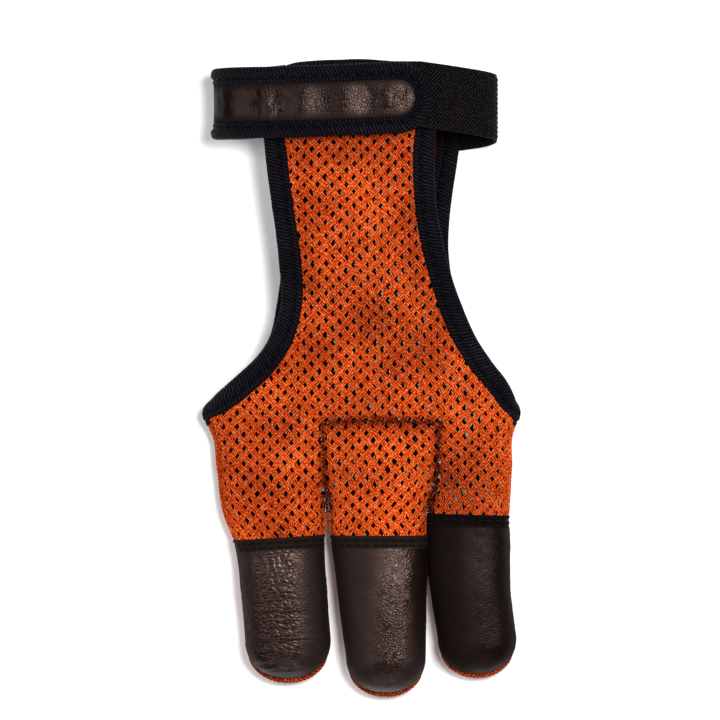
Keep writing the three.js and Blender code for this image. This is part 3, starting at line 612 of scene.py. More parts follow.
def value_noise(points, cell, seed=1):
    """Smooth random value from -1 to 1: whole-number corners of cells get mixed-up numbers, and a point
    blends the eight round it."""
    q = points / cell
    base = np.floor(q).astype(np.int64)
    f = q - base
    f = f * f * (3 - 2 * f)
    total = 0.0
    for corner in np.ndindex(2, 2, 2):
        n = base + np.array(corner)
        h = (sum(n[..., k] * HASH_STEPS[k] for k in range(3)) + seed * HASH_SEED) & WORD
        h = ((h ^ (h >> 13)) * HASH_TURN) & WORD
        h = (h ^ (h >> 16)) & 0xFFFF
        weight = np.prod(np.where(np.array(corner) == 1, f, 1 - f), axis=-1)
        total = total + weight * (h / 32767.5 - 1)
    return total


print("noise at the origin: %.3f" % value_noise(np.zeros(3), 1.0))

# %% [markdown]
# ## Finishes
# A finish is a small graph of shader nodes. One helper adds a node, fills its sockets and hands on one of
# its outputs, so each material below reads like a recipe. Colours are the hex values a designer would give,
# turned into linear light.


# %% Node helpers
BLEND = {"data_type": "RGBA", "blend_type": "MIX"}
MULTIPLY = {"data_type": "RGBA", "blend_type": "MULTIPLY"}
SHADE_ATTRIBUTE = {"attribute_name": "shade"}


def linear(hex_colour):
    """Linear colour of a hex value: each channel over 255, then the standard curve of screens."""
    c = np.array([int(hex_colour[i:i + 2], 16) for i in (1, 3, 5)]) / 255
    return (*np.where(c <= 0.04045, c / 12.92, ((c + 0.055) / 1.055) ** 2.4), 1.0)


def fill(node, inputs):
    """Fills a node's inputs, named as Blender identifies them with spaces as underscores: with a link from
    another node's output, or with a plain value."""
    sockets = {socket.identifier.replace(" ", "_"): socket for socket in node.inputs}
    for key, value in inputs.items():
        if isinstance(value, bpy.types.NodeSocket):
            node.id_data.links.new(value, sockets[key])
        else:
            sockets[key].default_value = value


def new_material(name):
    """Empty material, with the function that adds a node and the one that fills its surface shader."""
    material = bpy.data.materials.new(name)
    material.use_nodes = True
    tree = material.node_tree

    def add(kind, output, settings=None, stops=(), **inputs):
        """Adds a node and returns one of its outputs. stops are a ramp's places and colours."""
        node = tree.nodes.new("ShaderNode" + kind)
        for key, value in (settings or {}).items():
            setattr(node, key, value)
        if stops:
            elements = node.color_ramp.elements
            while len(elements) < len(stops):
                elements.new(0.5)
            for element, (place, colour) in zip(elements, stops):
                element.position = place
                element.color = linear(colour)
        fill(node, inputs)
        return {socket.identifier: socket for socket in node.outputs}[output]

    def shade(**inputs):
        """Fills the surface shader's inputs."""
        fill(tree.nodes["Principled BSDF"], inputs)

    return material, add, shade


print("white is", linear("#ffffff"))

# %% [markdown]
# ## Yarn, tape and thread
# Polyester yarn is bright and a little silky. The tape is the same fibre knitted fine and dyed navy black,
# and the thread is twisted and waxed. All three scatter light at their fibres, so they are rough, with a
# weak gloss, and small bumps carry what the mesh doesn't.


# %% Fibres
def polyester_net():
    """Orange polyester yarn, bright and a little silky, with painted shade: the shade attribute mixes in dark
    red on the flanks and near black on the inner side. Filaments are about a tenth of a millimetre; the
    flecks are drawn at half a millimetre so that the render shows them."""
    material, add, shade = new_material("orange_polyester_yarn")
    place = add("TexCoord", "Object")
    dye = add("TexNoise", "Fac", Vector=place, Scale=60.0, Detail=3.0)
    fleck = add("TexNoise", "Fac", Vector=place, Scale=1500.0, Detail=2.0, Roughness=0.7)
    bright = add("ValToRGB", "Color", stops=[(0.34, "#a42802"), (0.50, "#ea520c"), (0.66, "#ff9a54")],
                 Fac=fleck)
    uneven = add("ValToRGB", "Color", stops=[(0.3, "#c4b6b0"), (0.7, "#ffffff")], Fac=dye)
    dyed = add("Mix", "Result_Color", MULTIPLY, Factor_Float=1.0, A_Color=bright, B_Color=uneven)
    # Painted shade: the shade attribute turns the yarn dark red, then near black, on flanks, inner side,
    # hollows and seam.
    painted_shade = add("Attribute", "Fac", SHADE_ATTRIBUTE)
    deep = add("ValToRGB", "Color", stops=[(0.70, "#580200"), (1.00, "#140000")], Fac=painted_shade)
    colour = add("Mix", "Result_Color", BLEND, Factor_Float=painted_shade, A_Color=dyed, B_Color=deep)
    bump = add("Bump", "Normal", Height=fleck, Strength=0.4, Distance=0.00015)
    shade(Base_Color=colour, Roughness=0.7, Specular_IOR_Level=0.03, Normal=bump)
    return material


def knitted_tape():
    """Navy black knitted binding: fine ribs across it and a soft fibre. The ribs are 0.7 mm apart on such
    tape and drawn at 1.0 mm, so that the render shows them. Their colour is knit pattern with painted shade,
    near black between them, and the groove beside the roll has painted shade, nearly black."""
    material, add, shade = new_material("knitted_binding_tape")
    cloth = add("TexCoord", "UV")
    place = add("TexCoord", "Object")
    slanted = add("Mapping", "Vector", Vector=cloth, Rotation=(0.0, 0.0, 0.35))
    ribs = add("TexWave", "Fac", {"bands_direction": "X"}, Vector=slanted, Scale=0.314, Distortion=3.4,
               Detail=2.0, Detail_Scale=1.6)
    fibre = add("TexNoise", "Fac", Vector=place, Scale=1700.0, Detail=3.0)
    uneven = add("TexNoise", "Fac", Vector=place, Scale=60.0, Detail=2.0)
    # Knit pattern with painted shade: near black in the hollows between the ribs, navy on top.
    knit = add("ValToRGB", "Color", stops=[(0.20, "#010001"), (0.90, "#1e1923")], Fac=ribs)
    tint = add("ValToRGB", "Color", stops=[(0.3, "#a4a4b4"), (0.7, "#ffffff")], Fac=uneven)
    tinted = add("Mix", "Result_Color", MULTIPLY, Factor_Float=1.0, A_Color=knit, B_Color=tint)
    # Painted shade: the groove beside the roll is mixed to near black.
    groove = add("Attribute", "Fac", SHADE_ATTRIBUTE)
    colour = add("Mix", "Result_Color", BLEND, Factor_Float=groove, A_Color=tinted, B_Color=linear("#000001"))
    ribbed = add("Bump", "Normal", Height=ribs, Strength=0.9, Distance=0.0005)
    bump = add("Bump", "Normal", Height=fibre, Strength=0.35, Distance=0.00015, Normal=ribbed)
    shade(Base_Color=colour, Roughness=0.6, Specular_IOR_Level=0.05, Normal=bump)
    return material


def sewing_thread():
    """Black twisted sewing thread, waxed, with a faint gloss."""
    material, add, shade = new_material("black_sewing_thread")
    place = add("TexCoord", "Object")
    twist = add("TexNoise", "Fac", Vector=place, Scale=2500.0, Detail=2.0)
    colour = add("ValToRGB", "Color", stops=[(0.3, "#020203"), (0.7, "#0b0a0d")], Fac=twist)
    bump = add("Bump", "Normal", Height=twist, Strength=0.4, Distance=0.0001)
    shade(Base_Color=colour, Roughness=0.5, Specular_IOR_Level=0.08, Normal=bump)
    return material


YARN, TAPE, THREAD = polyester_net(), knitted_tape(), sewing_thread()
print("fibres:", [material.name for material in (YARN, TAPE, THREAD)])

# %% [markdown]
# ## Leather
# The fingertips are thin chrome-tanned leather with a fine grain. The string polishes a band along each of
# them, and the rest is rough and darkened by painted shade. One function makes all four leathers, and a table
# says how they differ: the
# size and stretch of the grain in millimetres, how deep it is, how smooth and how bright the gloss.

# %% Leather
DULLED = 0.60
PORES = 2.2
LEATHERS = {
    "index": dict(name="pebbled_doeskin_leather", dark="#080303", light="#150b0a", cell=1.3,
                  stretch=(1.6, 0.8), depth=0.00012, gloss=0.27, shine=0.31),
    "middle": dict(name="smooth_doeskin_leather", dark="#070303", light="#120807", cell=0.7,
                   stretch=(1.0, 1.0), depth=0.00006, gloss=0.21, shine=0.32),
    "ring": dict(name="matt_doeskin_leather", dark="#060202", light="#100706", cell=0.7,
                 stretch=(1.0, 1.0), depth=0.00006, gloss=0.25, shine=0.11),
    "tab": dict(name="creased_glossy_leather", dark="#060303", light="#0f0a0a", cell=0.9,
                stretch=(1.0, 1.0), depth=0.00005, gloss=0.22, shine=0.11),
}


def grained_leather(name, dark, light, cell, stretch, depth, gloss, shine):
    """Chrome-tanned leather: cells of a Voronoi pattern for the grain, noise for the pores, the uneven dye
    and the worn gloss. Where the shade attribute is high the leather is rougher and darkened by painted
    shade; where it is low it is polished."""
    material, add, shade = new_material(name)
    place = add("TexCoord", "Object")
    sized = add("Mapping", "Vector", Vector=place, Scale=(1 / stretch[0], 1 / stretch[1], 1.0))
    pebbles = 1.0 / (cell * MM)
    cells = add("TexVoronoi", "Distance", {"feature": "DISTANCE_TO_EDGE"}, Vector=sized, Scale=pebbles)
    pores = add("TexNoise", "Fac", Vector=place, Scale=pebbles * PORES, Detail=3.0)
    worn = add("TexNoise", "Fac", Vector=place, Scale=90.0, Detail=5.0, Roughness=0.6)
    colour = add("ValToRGB", "Color", stops=[(0.32, dark), (0.72, light)], Fac=worn)
    worn_gloss = add("MapRange", "Result", Value=worn, From_Min=0.3, From_Max=0.7, To_Min=gloss + 0.1,
                     To_Max=gloss)
    grain = add("MapRange", "Result", Value=cells, From_Min=0.0, From_Max=0.22)
    pebbled = add("Bump", "Normal", Height=grain, Strength=0.6, Distance=depth)
    bump = add("Bump", "Normal", Height=pores, Strength=0.4, Distance=depth * 0.5, Normal=pebbled)
    # The shade attribute darkens the colour to near black as painted shade, and makes the finish rougher.
    wear_and_painted_shade = add("Attribute", "Fac", SHADE_ATTRIBUTE)
    painted_shade_and_wear = add("Mix", "Result_Color", BLEND, Factor_Float=wear_and_painted_shade, A_Color=colour, B_Color=linear("#030202"))
    rough = add("Math", "Value", {"operation": "MULTIPLY_ADD", "use_clamp": True}, Value=wear_and_painted_shade,
                Value_001=DULLED, Value_002=worn_gloss)
    shade(Base_Color=painted_shade_and_wear, Roughness=rough, Normal=bump, Specular_IOR_Level=shine,
          Specular_Tint=linear("#ffd4c6"))
    return material


LEATHER = {place: grained_leather(**finish) for place, finish in LEATHERS.items()}
print("leathers:", [material.name for material in LEATHER.values()])

# %% [markdown]
# ## Webbing and hook tape
# Elastic webbing shows small knuckles where its ribs cross, so two slanting waves are multiplied. The hook
# tape is nylon, with a painted highlight on the tips of its stiff little hooks.


# %% Webbing
def woven_elastic():
    """Black woven elastic: two sets of slanting ribs cross, and the weave's knuckles stand on their
    crossings in alternate rows, 1 mm apart, a little browner and paler than the gaps."""
    material, add, shade = new_material("woven_elastic_webbing")
    cloth = add("TexCoord", "UV")
    ribs = []
    for mirror in (1.0, -1.0):
        slanted = add("Mapping", "Vector", Vector=cloth, Scale=(1.0, 0.8 * mirror, 1.0))
        ribs.append(add("TexWave", "Fac", {"bands_direction": "DIAGONAL"}, Vector=slanted, Scale=0.60,
                        Distortion=0.5))
    height = add("Math", "Value", {"operation": "MULTIPLY"}, Value=ribs[0], Value_001=ribs[1])
    fleck = add("TexNoise", "Fac", Vector=cloth, Scale=0.8, Detail=3.0, Roughness=0.7)
    knuckles = add("ValToRGB", "Color", stops=[(0.15, "#020202"), (0.45, "#131011"), (0.85, "#453b37")],
                   Fac=height)
    uneven = add("ValToRGB", "Color", stops=[(0.35, "#5a5a5a"), (0.65, "#ffffff")], Fac=fleck)
    colour = add("Mix", "Result_Color", MULTIPLY, Factor_Float=1.0, A_Color=knuckles, B_Color=uneven)
    bump = add("Bump", "Normal", Height=height, Strength=0.8, Distance=0.0004)
    shade(Base_Color=colour, Roughness=0.7, Specular_IOR_Level=0.04, Normal=bump)
    return material


def hook_tape():
    """Nylon hook tape: stiff little hooks in rows, a millimetre apart, with a painted highlight on their
    tips.
    """
    material, add, shade = new_material("nylon_hook_tape")
    place = add("TexCoord", "Object")
    hooks = add("TexVoronoi", "Distance", Vector=place, Scale=1000.0, Randomness=0.3)
    # Painted highlight: the colour is lighter near the middle of each cell, at the hooks' tips.
    colour = add("ValToRGB", "Color", stops=[(0.15, "#1c1a1d"), (0.55, "#050506")], Fac=hooks)
    bump = add("Bump", "Normal", {"invert": True}, Height=hooks, Strength=0.8, Distance=0.0004)
    shade(Base_Color=colour, Roughness=0.55, Specular_IOR_Level=0.2, Normal=bump)
    return material


ELASTIC, HOOKS = woven_elastic(), hook_tape()
print("webbing:", [material.name for material in (ELASTIC, HOOKS)])

# %% [markdown]
# ## Yarns of the net
# The net is a warp knit: strands of three yarns run both ways across it and cross at junctions, which
# leaves tall diamond gaps. An image with holes would look flat from the side, so every yarn is a thin
# tube. All tubes are worked out in one array: a strand is a row of places in flat cloth millimetres.

# %% Yarns
PITCH_ACROSS = 4.3
PITCH_ALONG = 4.4
JUNCTION_WIDENING = 0.28
WANDER = 0.42
WANDER_CELL = 6.0
PULLED = 0.22
PULLED_CELL = 2.6
YARN_SIDES = 4


def strand_paths(low, high, direction, per_segment, turn=0.0):
    """Flat paths of all strands one way. Along a strand the step count t runs through the junctions,
    and a sine of it widens the crossings: half a pitch times t, plus or less that sine."""
    t = np.arange(2 * low[1] / PITCH_ALONG - 1, 2 * high[1] / PITCH_ALONG + 1, 1 / per_segment)
    furthest = np.abs(t).max()
    first = math.floor((2 * low[0] / PITCH_ACROSS - furthest) / 2) * 2
    last = math.ceil((2 * high[0] / PITCH_ACROSS + furthest) / 2) * 2
    line = np.arange(first, last + 1, 2)[:, None]
    t0 = round(t[0])
    t = (t - t[0] + t0)[None, :]
    wave = JUNCTION_WIDENING * np.sin(2 * math.pi * t) / (2 * math.pi)
    s = (direction * (t + wave) + line) * PITCH_ACROSS / 2
    y = (t - wave) * PITCH_ALONG / 2 + 0 * line
    c, d = math.cos(turn), math.sin(turn)
    return s * c - y * d, s * d + y * c, t + 0 * line


def wandering(values, flat, seed):
    """Values with two noises added: the slow wander of the strands and the pull on single meshes."""
    wander = WANDER * value_noise(flat, WANDER_CELL, seed)
    return values + wander + PULLED * value_noise(flat, PULLED_CELL, seed + 2)


def yarn_rings(centre, normal, radius, sides=YARN_SIDES):
    """Rings of a tube round each path: the path's own direction, the side and the normal span them."""
    along = unit(np.gradient(centre, axis=1))
    side = unit(np.cross(along, normal))
    up = np.cross(side, along)
    a = np.arange(sides) * 2 * math.pi / sides
    ring = side[:, :, None] * np.cos(a)[:, None] + up[:, :, None] * np.sin(a)[:, None]
    return centre[:, :, None] + radius * ring, np.sin(a)


def tube_faces(keep):
    """Faces of all yarns between kept neighbours, and square ends where a yarn starts or stops."""
    number = np.arange(keep.size).reshape(keep.shape)
    linked = keep[:, :-1] & keep[:, 1:]
    a, b = number[:, :-1][linked][:, None] * YARN_SIDES, number[:, 1:][linked][:, None] * YARN_SIDES
    k = np.arange(YARN_SIDES)
    k1 = (k + 1) % YARN_SIDES
    walls = np.stack([a + k, b + k, b + k1, a + k1], axis=-1).reshape(-1, 4)
    before = np.pad(linked, ((0, 0), (1, 0)))
    after = np.pad(linked, ((0, 0), (0, 1)))
    starts, ends = number[after & ~before][:, None], number[before & ~after][:, None]
    caps = np.concatenate([starts * YARN_SIDES + k, ends * YARN_SIDES + k[::-1]])
    return np.concatenate([walls, caps]), before | after


print("meshes of the net: %.1f mm across, %.1f mm along" % (PITCH_ACROSS, PITCH_ALONG))

# %% [markdown]
# ## Painted shade on the yarn
# Yarn in a hollow, beside the seam and on its own flanks gets little light, so shade is painted into its
# colour as deep red. The yarn's finish reads how dark each corner is. Lamps alone would not do it, because
# the hollows of the form are shallow.

# %% Shades
RIM_DARK = 0.42
SEAM_PAINTED_SHADE = ((0.42, 0.55), (0.34, 1.9))
# Spots of painted shade on the front net, where the form's hollows fall in shade.
SHADED = [
    dict(x=4.0, y=19.0, reach_x=8.0, reach_y=7.5, depth=0.44),
    dict(x=9.0, y=4.0, reach_x=5.0, reach_y=6.0, depth=0.30),
    dict(x=-9.0, y=28.0, reach_x=9.0, reach_y=6.0, depth=0.26),
    dict(x=-1.0, y=71.0, reach_x=18.0, reach_y=8.0, depth=0.28),
    dict(x=9.0, y=-15.5, reach_x=15.0, reach_y=2.4, depth=0.24),
    dict(x=-25.0, y=-17.0, reach_x=6.0, reach_y=6.0, depth=0.26),
    dict(x=-29.0, y=-33.0, reach_x=8.0, reach_y=7.0, depth=0.24),
    dict(x=35.0, y=-31.0, reach_x=9.0, reach_y=10.0, depth=0.26),
    dict(x=27.0, y=-31.0, reach_x=4.0, reach_y=10.0, depth=0.42),
    dict(x=-17.0, y=40.0, reach_x=3.0, reach_y=30.0, depth=0.22),
    dict(x=17.0, y=45.0, reach_x=4.0, reach_y=25.0, depth=0.26),
]


def rim_shade(point):
    """How much darker the net's turned-up ends are in front of the fingertips: a smooth step up in height
    times a smooth step towards the tips."""
    return RIM_DARK * smoothstep(1.5, 4.0, point[..., 2]) * smoothstep(-78.0, -84.0, point[..., 1])


def hollow_shade(point):
    """Painted shade on the front net: two bells of the distance from the sewn seam, and for each spot its
    depth times e to the minus of both squared distances over their reach."""
    x, y = point[..., 0], point[..., 1]
    away = seam_distance(x, y)
    dark = sum(depth * bell(away, reach) for depth, reach in SEAM_PAINTED_SHADE)
    for spot in SHADED:
        away_x, away_y = (x - spot["x"]) / spot["reach_x"], (y - spot["y"]) / spot["reach_y"]
        dark = dark + spot["depth"] * np.exp(-(away_x ** 2) - away_y ** 2)
    return dark


print("darker spots of the front net:", len(SHADED))

# %% [markdown]
# ## Knitting a piece
# The charts lift the flat strands on to the glove, and what falls outside a panel is dropped. Three yarns
# lie side by side in a strand. Each is moved up and down by a wave, so that strands cross over and under.

# %% Knit
YARN_RADIUS = 0.33
YARN_SPACING = 0.625
YARN_LOOSE = 0.16
LOOSE_LIFT = 0.6
LUMPS = 0.18
CROSSING_LIFT = 0.24
# Painted shade on the yarn's flanks. It is stronger on the back net, whose inner side is painted near black.
FRONT_FLANK_PAINTED_SHADE = 0.70
BACK_FLANK_PAINTED_SHADE = 0.95
PAST_PANEL = 3
SLOPE_STEP = 0.2
FLOOR_AIR = 0.02


def knit(name, surface, inside, low, high, node, outward=1.0, per_segment=4, turn=0.0, shift=(0.0, 0.0)):
    """Net piece over a surface function. inside tells which flat and real places belong to it. A strand is
    three yarns. Where the outer two pass over a crossing the middle one passes under, so it looks plaited."""
    painted_shade, extra_shade = (FRONT_FLANK_PAINTED_SHADE, hollow_shade) if outward > 0 else (BACK_FLANK_PAINTED_SHADE, rim_shade)
    parts = []
    for direction in (1, -1):
        s, y, t = strand_paths(low, high, direction, per_segment, turn)
        flat = np.stack([s, y, 0 * s], axis=-1)
        s, y = wandering(s + shift[0], flat, 7), wandering(y + shift[1], flat, 8)
        reach = (s > low[0] - PAST_PANEL) & (s < high[0] + PAST_PANEL)
        reach = reach & (y > low[1] - PAST_PANEL) & (y < high[1] + PAST_PANEL)
        used = reach.any(axis=1)
        s, y, t, reach = s[used], y[used], t[used], reach[used]
        point = surface(s, y)
        across = surface(s + SLOPE_STEP, y) - surface(s - SLOPE_STEP, y)
        along = surface(s, y + SLOPE_STEP) - surface(s, y - SLOPE_STEP)
        normal = unit(np.cross(across, along)) * outward
        side = unit(np.cross(unit(np.gradient(point, axis=1)), normal))
        faces, used_rings = tube_faces(reach & inside(s, y, point))
        number = np.cumsum(used_rings.ravel()) - 1
        faces = number[faces // YARN_SIDES] * YARN_SIDES + faces % YARN_SIDES
        extra = extra_shade(point).ravel()[used_rings.ravel()][:, None]
        weave = direction * CROSSING_LIFT * np.cos(math.pi * t)
        for yarn in (-1, 0, 1):
            loose = value_noise(point + 17.0 * yarn, 1.7, seed=5 + direction)
            centre = point + side * (yarn * YARN_SPACING + YARN_LOOSE * loose)[..., None]
            height = weave * (2 * abs(yarn) - 1) - NET_THICKNESS / 2 + LOOSE_LIFT * YARN_LOOSE * loose
            centre = centre + normal * height[..., None]
            lumpy = YARN_RADIUS * (1 + LUMPS * value_noise(point + 5.0 * yarn, 1.1, seed=15))
            rings, facing = yarn_rings(centre, normal, lumpy[..., None, None])
            kept = rings.reshape(-1, YARN_SIDES, 3)[used_rings.ravel()]
            # Painted shade: darker where a yarn's side faces away from the outside, plus the extra painted
            # marks of hollow_shade or rim_shade.
            dark = np.clip(painted_shade - painted_shade * facing[None, :] + extra, 0, 1)
            parts.append((kept.reshape(-1, 3), faces, dark.ravel()))
    points, faces, shade = joined(parts)
    points[:, 2] = np.maximum(points[:, 2], FLOOR_AIR)
    make_piece(name, points, faces, YARN, [node], shade=shade)


print("a strand is %.1f mm wide" % (2 * YARN_SPACING + 2 * YARN_RADIUS))

# %% [markdown]
# ## Where each piece ends
# A sewer cuts the net under the tape, the leather hems and the seams, where the raw ends are hidden. Each
# test below says the same of an array of places: which of them lie between those edges.

# %% Panels
SIDE_SHARE = 0.985
SEAM_INSET = -0.4
TUCK = 1.0
FRONT_MARGIN = 0.3
BACK_MARGIN = 0.2
END_MARGIN = 0.1
PALM_END = 0.300
STALL_START = 0.33
PIECE_START = 0.294
CROTCH = 0.325
LANES = (-2.0, -0.21, 0.445, 2.0)


def row_place(rows, y):
    """Place across of a tape's middle line at a place along the glove, from the side point upwards."""
    shares = [TAPE_TURN] + [at for at, _ in rows]
    places = [SIDE_SHARE * np.sign(rows[0][1])] + [place for _, place in rows]
    return HALF_WIDTH * np.interp(share_of(y), shares, places)


def between_tapes(point, left_rows, right_rows, inset):
    """Whether a point lies between two tapes, less an inset on both sides and at the wrist end."""
    x, y = point[..., 0], point[..., 1]
    neck = y > lengthwise(TAPE_TURN)
    inner = (x > row_place(left_rows, y) + inset) & (x < row_place(right_rows, y) - inset)
    return np.where(neck, inner, True) & (y < lengthwise(left_rows[-1][0]))


def hem_height(finger, x):
    """Height of a leather hem across the finger: the hem's place plus its slope times the distance."""
    left, right, _ = tube_edges(finger["rows"], lengthwise(finger["hem"]))
    return lengthwise(finger["hem"]) + finger["hem_slope"] * (x - (left + right) / 2)


def in_front(s, y, point):
    """Front panel: between the tapes, outside of the middle piece and above the two hems."""
    x = point[..., 0]
    left, right = middle_seams(y)
    outside_middle = (x < left - SEAM_INSET) | (x > right + SEAM_INSET) | (y > seam_top(x) + SEAM_INSET)
    above_hem = np.where(s < 0, y > hem_height(INDEX, x) - TUCK, y > hem_height(RING, x) - TUCK)
    on_palm = within(FRONT_PALM, s, y, FRONT_MARGIN) | (y < lengthwise(PALM_END))
    on_index, on_ring = (within(stall, s - stall["start"], y, FRONT_MARGIN) for stall in FRONT_STALLS[::2])
    on_stall = np.where(y < lengthwise(STALL_START), np.where(s < 0, on_index, on_ring), True)
    in_neck = between_tapes(point, FRONT_LEFT, FRONT_RIGHT, TUCK)
    return in_neck & outside_middle & above_hem & on_palm & on_stall


def in_middle(s, y, point):
    """Middle piece: inside its seams and above its hem."""
    x = point[..., 0]
    left, right = middle_seams(y)
    inner = (x > left + SEAM_INSET) & (x < right - SEAM_INSET) & (y < seam_top(x) - SEAM_INSET)
    on_stall = np.where(y < lengthwise(STALL_START), within(FRONT_STALLS[1], s, y, FRONT_MARGIN), True)
    above_hem = y > hem_height(MIDDLE, x) - TUCK
    return np.where(y < lengthwise(PIECE_START), True, inner) & on_stall & above_hem


def in_back_palm(s, y, point):
    """Back layer of palm and neck: between its tapes and above the crotches."""
    in_neck = between_tapes(point, BACK_LEFT, BACK_RIGHT, TUCK)
    return in_neck & within(BACK_PALM, s, y, BACK_MARGIN) & (y > lengthwise(CROTCH))


def in_back_stall(number):
    """Returns the test for one finger's back net, from the palm's net to the round end."""
    chart = BACK_STALLS[number]
    left_lane, right_lane = (HALF_WIDTH * lane for lane in LANES[number:number + 2])

    def test(s, y, point):
        """Whether a place belongs to this finger's net."""
        lane = (point[..., 0] > left_lane) & (point[..., 0] < right_lane)
        fits = within(BACK_PALM, s + chart["start"], y, BACK_MARGIN) & lane
        on_stall = within(chart, s, y, END_MARGIN)
        return np.where(y >= lengthwise(PALM_END), fits, on_stall) & (y <= lengthwise(CROTCH))

    return test


print("the net is tucked %.1f mm under tape and hems" % TUCK)

# %% [markdown]
# ## The net
# Six pieces of net: the front, the middle finger's own piece, the back of the hand and one under each
# finger. The back is knitted with fewer steps, because less of it shows.

# %% Net
LOW_Y, CROTCH_Y, TOP_Y = lengthwise(0.24), lengthwise(CROTCH), lengthwise(0.985)
knit("net_front", front_point, in_front, (-54, LOW_Y), (56, TOP_Y), "front_panel")
knit("net_middle_front", middle_point, in_middle, (-22, LOW_Y), (22, lengthwise(0.45)),
     "middle_finger_panel", turn=0.04, shift=(1.1, 0.6))
knit("net_back_hand", back_palm_point, in_back_palm, (-54, CROTCH_Y), (56, TOP_Y), "back_panel",
     outward=-1.0, per_segment=3, shift=(0.9, 0.4))
for number, finger in enumerate(FINGERS):
    knit("net_back_" + finger["name"], back_stall_point(BACK_STALLS[number]), in_back_stall(number),
         (-24, lengthwise(finger["tip_end"])), (24, CROTCH_Y), "back_panel", outward=-1.0, per_segment=3)

# %% [markdown]
# ## The binding tape
# Raw net would fray, so a knitted tape is folded over every open edge and stitched through. What shows is
# a fat outer roll, a sewn groove and a narrow inner flange. A sweep of one profile along the edge line
# gives all three; a bevelled curve would too, but would not lie down on the hand's slope by itself.

# %% Curves
CURVE_STEPS = 60


def catmull_rom(points, step):
    """Closed centripetal curve: each span's knots are the square roots of the distances between points,
    and straight mixes of mixes between them give the curve. It is then read off at equal steps."""
    p = np.stack([np.roll(points, k, axis=0) for k in (1, 0, -1, -2)])
    gaps = np.sqrt(np.maximum(np.linalg.norm(np.diff(p, axis=0), axis=-1), 1e-4))
    knots = np.concatenate([np.zeros((1, len(points))), np.cumsum(gaps, axis=0)])
    u = np.linspace(0, 1, CURVE_STEPS, endpoint=False)[:, None]
    t = knots[1] + (knots[2] - knots[1]) * u

    def mix(a, b, ka, kb):
        """Straight mix of two points by where the knot lies between theirs."""
        w = ((t - ka) / (kb - ka))[..., None]
        return a * (1 - w) + b * w

    a1 = mix(p[0], p[1], knots[0], knots[1])
    a2 = mix(p[1], p[2], knots[1], knots[2])
    a3 = mix(p[2], p[3], knots[2], knots[3])
    b1 = mix(a1, a2, knots[0], knots[2])
    b2 = mix(a2, a3, knots[1], knots[3])
    fine = mix(b1, b2, knots[1], knots[2]).transpose(1, 0, 2).reshape(-1, 3)
    return even_path(np.concatenate([fine, fine[:1]]), step)


def even_path(path, step):
    """Path read off at equal distances of about one step."""
    travelled = np.concatenate([[0], np.cumsum(np.linalg.norm(np.diff(path, axis=0), axis=1))])
    count = max(int(round(travelled[-1] / step)), 2)
    wanted = np.linspace(0, travelled[-1], count + 1)
    return np.stack([np.interp(wanted, travelled, path[:, k]) for k in range(3)], axis=1)


def smoothed(values, reach, closed):
    """Values averaged with their neighbours in a moving window."""
    window = np.ones(2 * reach + 1) / (2 * reach + 1)
    mode = "wrap" if closed else "edge"
    padded = np.pad(values, ((reach, reach), (0, 0)), mode=mode)
    return np.stack([np.convolve(padded[:, k], window, "valid") for k in range(values.shape[1])], axis=1)


print("a span of the curve is worked out at %d places" % CURVE_STEPS)

# %% [markdown]
# ## The edge line
# The tape runs once round each opening, over front and back. Its middle line is one closed curve through
# the measured places, and at each point the hand's own slope says which way the tape faces.

# %% Edge line
TAPE_THICKNESS = 3.4
TAPE_STEP = 0.6
EDGE_SMOOTHING = 4


def palm_middle(y):
    """Middle, half width and rise of the palm's net at half its thickness in."""
    left, right, depth = tube_edges(PALM, y)
    inset = NET_THICKNESS / 2
    return (left + right) / 2, (right - left) / 2 - inset, WRIST_DEPTH * depth - SEAM_HEIGHT - inset


def on_layer(rows, upper):
    """Points of a tape's middle line on the front or the back layer."""
    at = np.array([r[0] for r in rows])
    x, y = HALF_WIDTH * np.array([r[1] for r in rows]), lengthwise(at)
    middle, half, rise = palm_middle(y)
    u = np.minimum(np.abs(x - middle) / half, 0.999)
    if upper:
        z = SEAM_HEIGHT + rise * crown(u) - dent_drop(x, y)
    else:
        corner = np.maximum(u - PALM_FLAT, 0) / (1 - PALM_FLAT)
        z = SEAM_HEIGHT - (SEAM_HEIGHT - NET_THICKNESS / 2) * np.sqrt(1 - corner ** 2)
    return np.stack([x, y, z], axis=1)


def turn_point(name):
    """Side point of the palm, where front and back tape meet."""
    x = HALF_WIDTH * column(PALM, name, TAPE_TURN)
    return np.array([[x - np.sign(x) * NET_THICKNESS / 2, lengthwise(TAPE_TURN), SEAM_HEIGHT]])


def hand_normal(points):
    """Outward direction of the hand at the edge line: the slope of the section's formula."""
    middle, half, rise = palm_middle(points[:, 1])
    u = np.clip((points[:, 0] - middle) / half, -0.999, 0.999)
    drop = SEAM_HEIGHT - NET_THICKNESS / 2
    w = crown(np.abs(u))
    upper = np.stack([np.sign(u) * np.abs(u) ** (CROWN_POWER - 1) / half, 0 * u,
                      w ** (CROWN_POWER - 1) / rise], axis=1)
    corner = np.maximum(np.abs(u) - PALM_FLAT, 0) / (1 - PALM_FLAT)
    sole = np.sqrt(1 - corner ** 2)
    lower = np.stack([np.sign(u) * corner / ((1 - PALM_FLAT) * half), 0 * u, -sole / drop], axis=1)
    side = np.stack([np.sign(u), 0 * u, (points[:, 2] - SEAM_HEIGHT) / drop], axis=1)
    normal = np.where((points[:, 2] > SEAM_HEIGHT)[:, None], unit(upper), unit(lower))
    return np.where((np.abs(u) > SIDE_SHARE)[:, None], unit(side), normal)


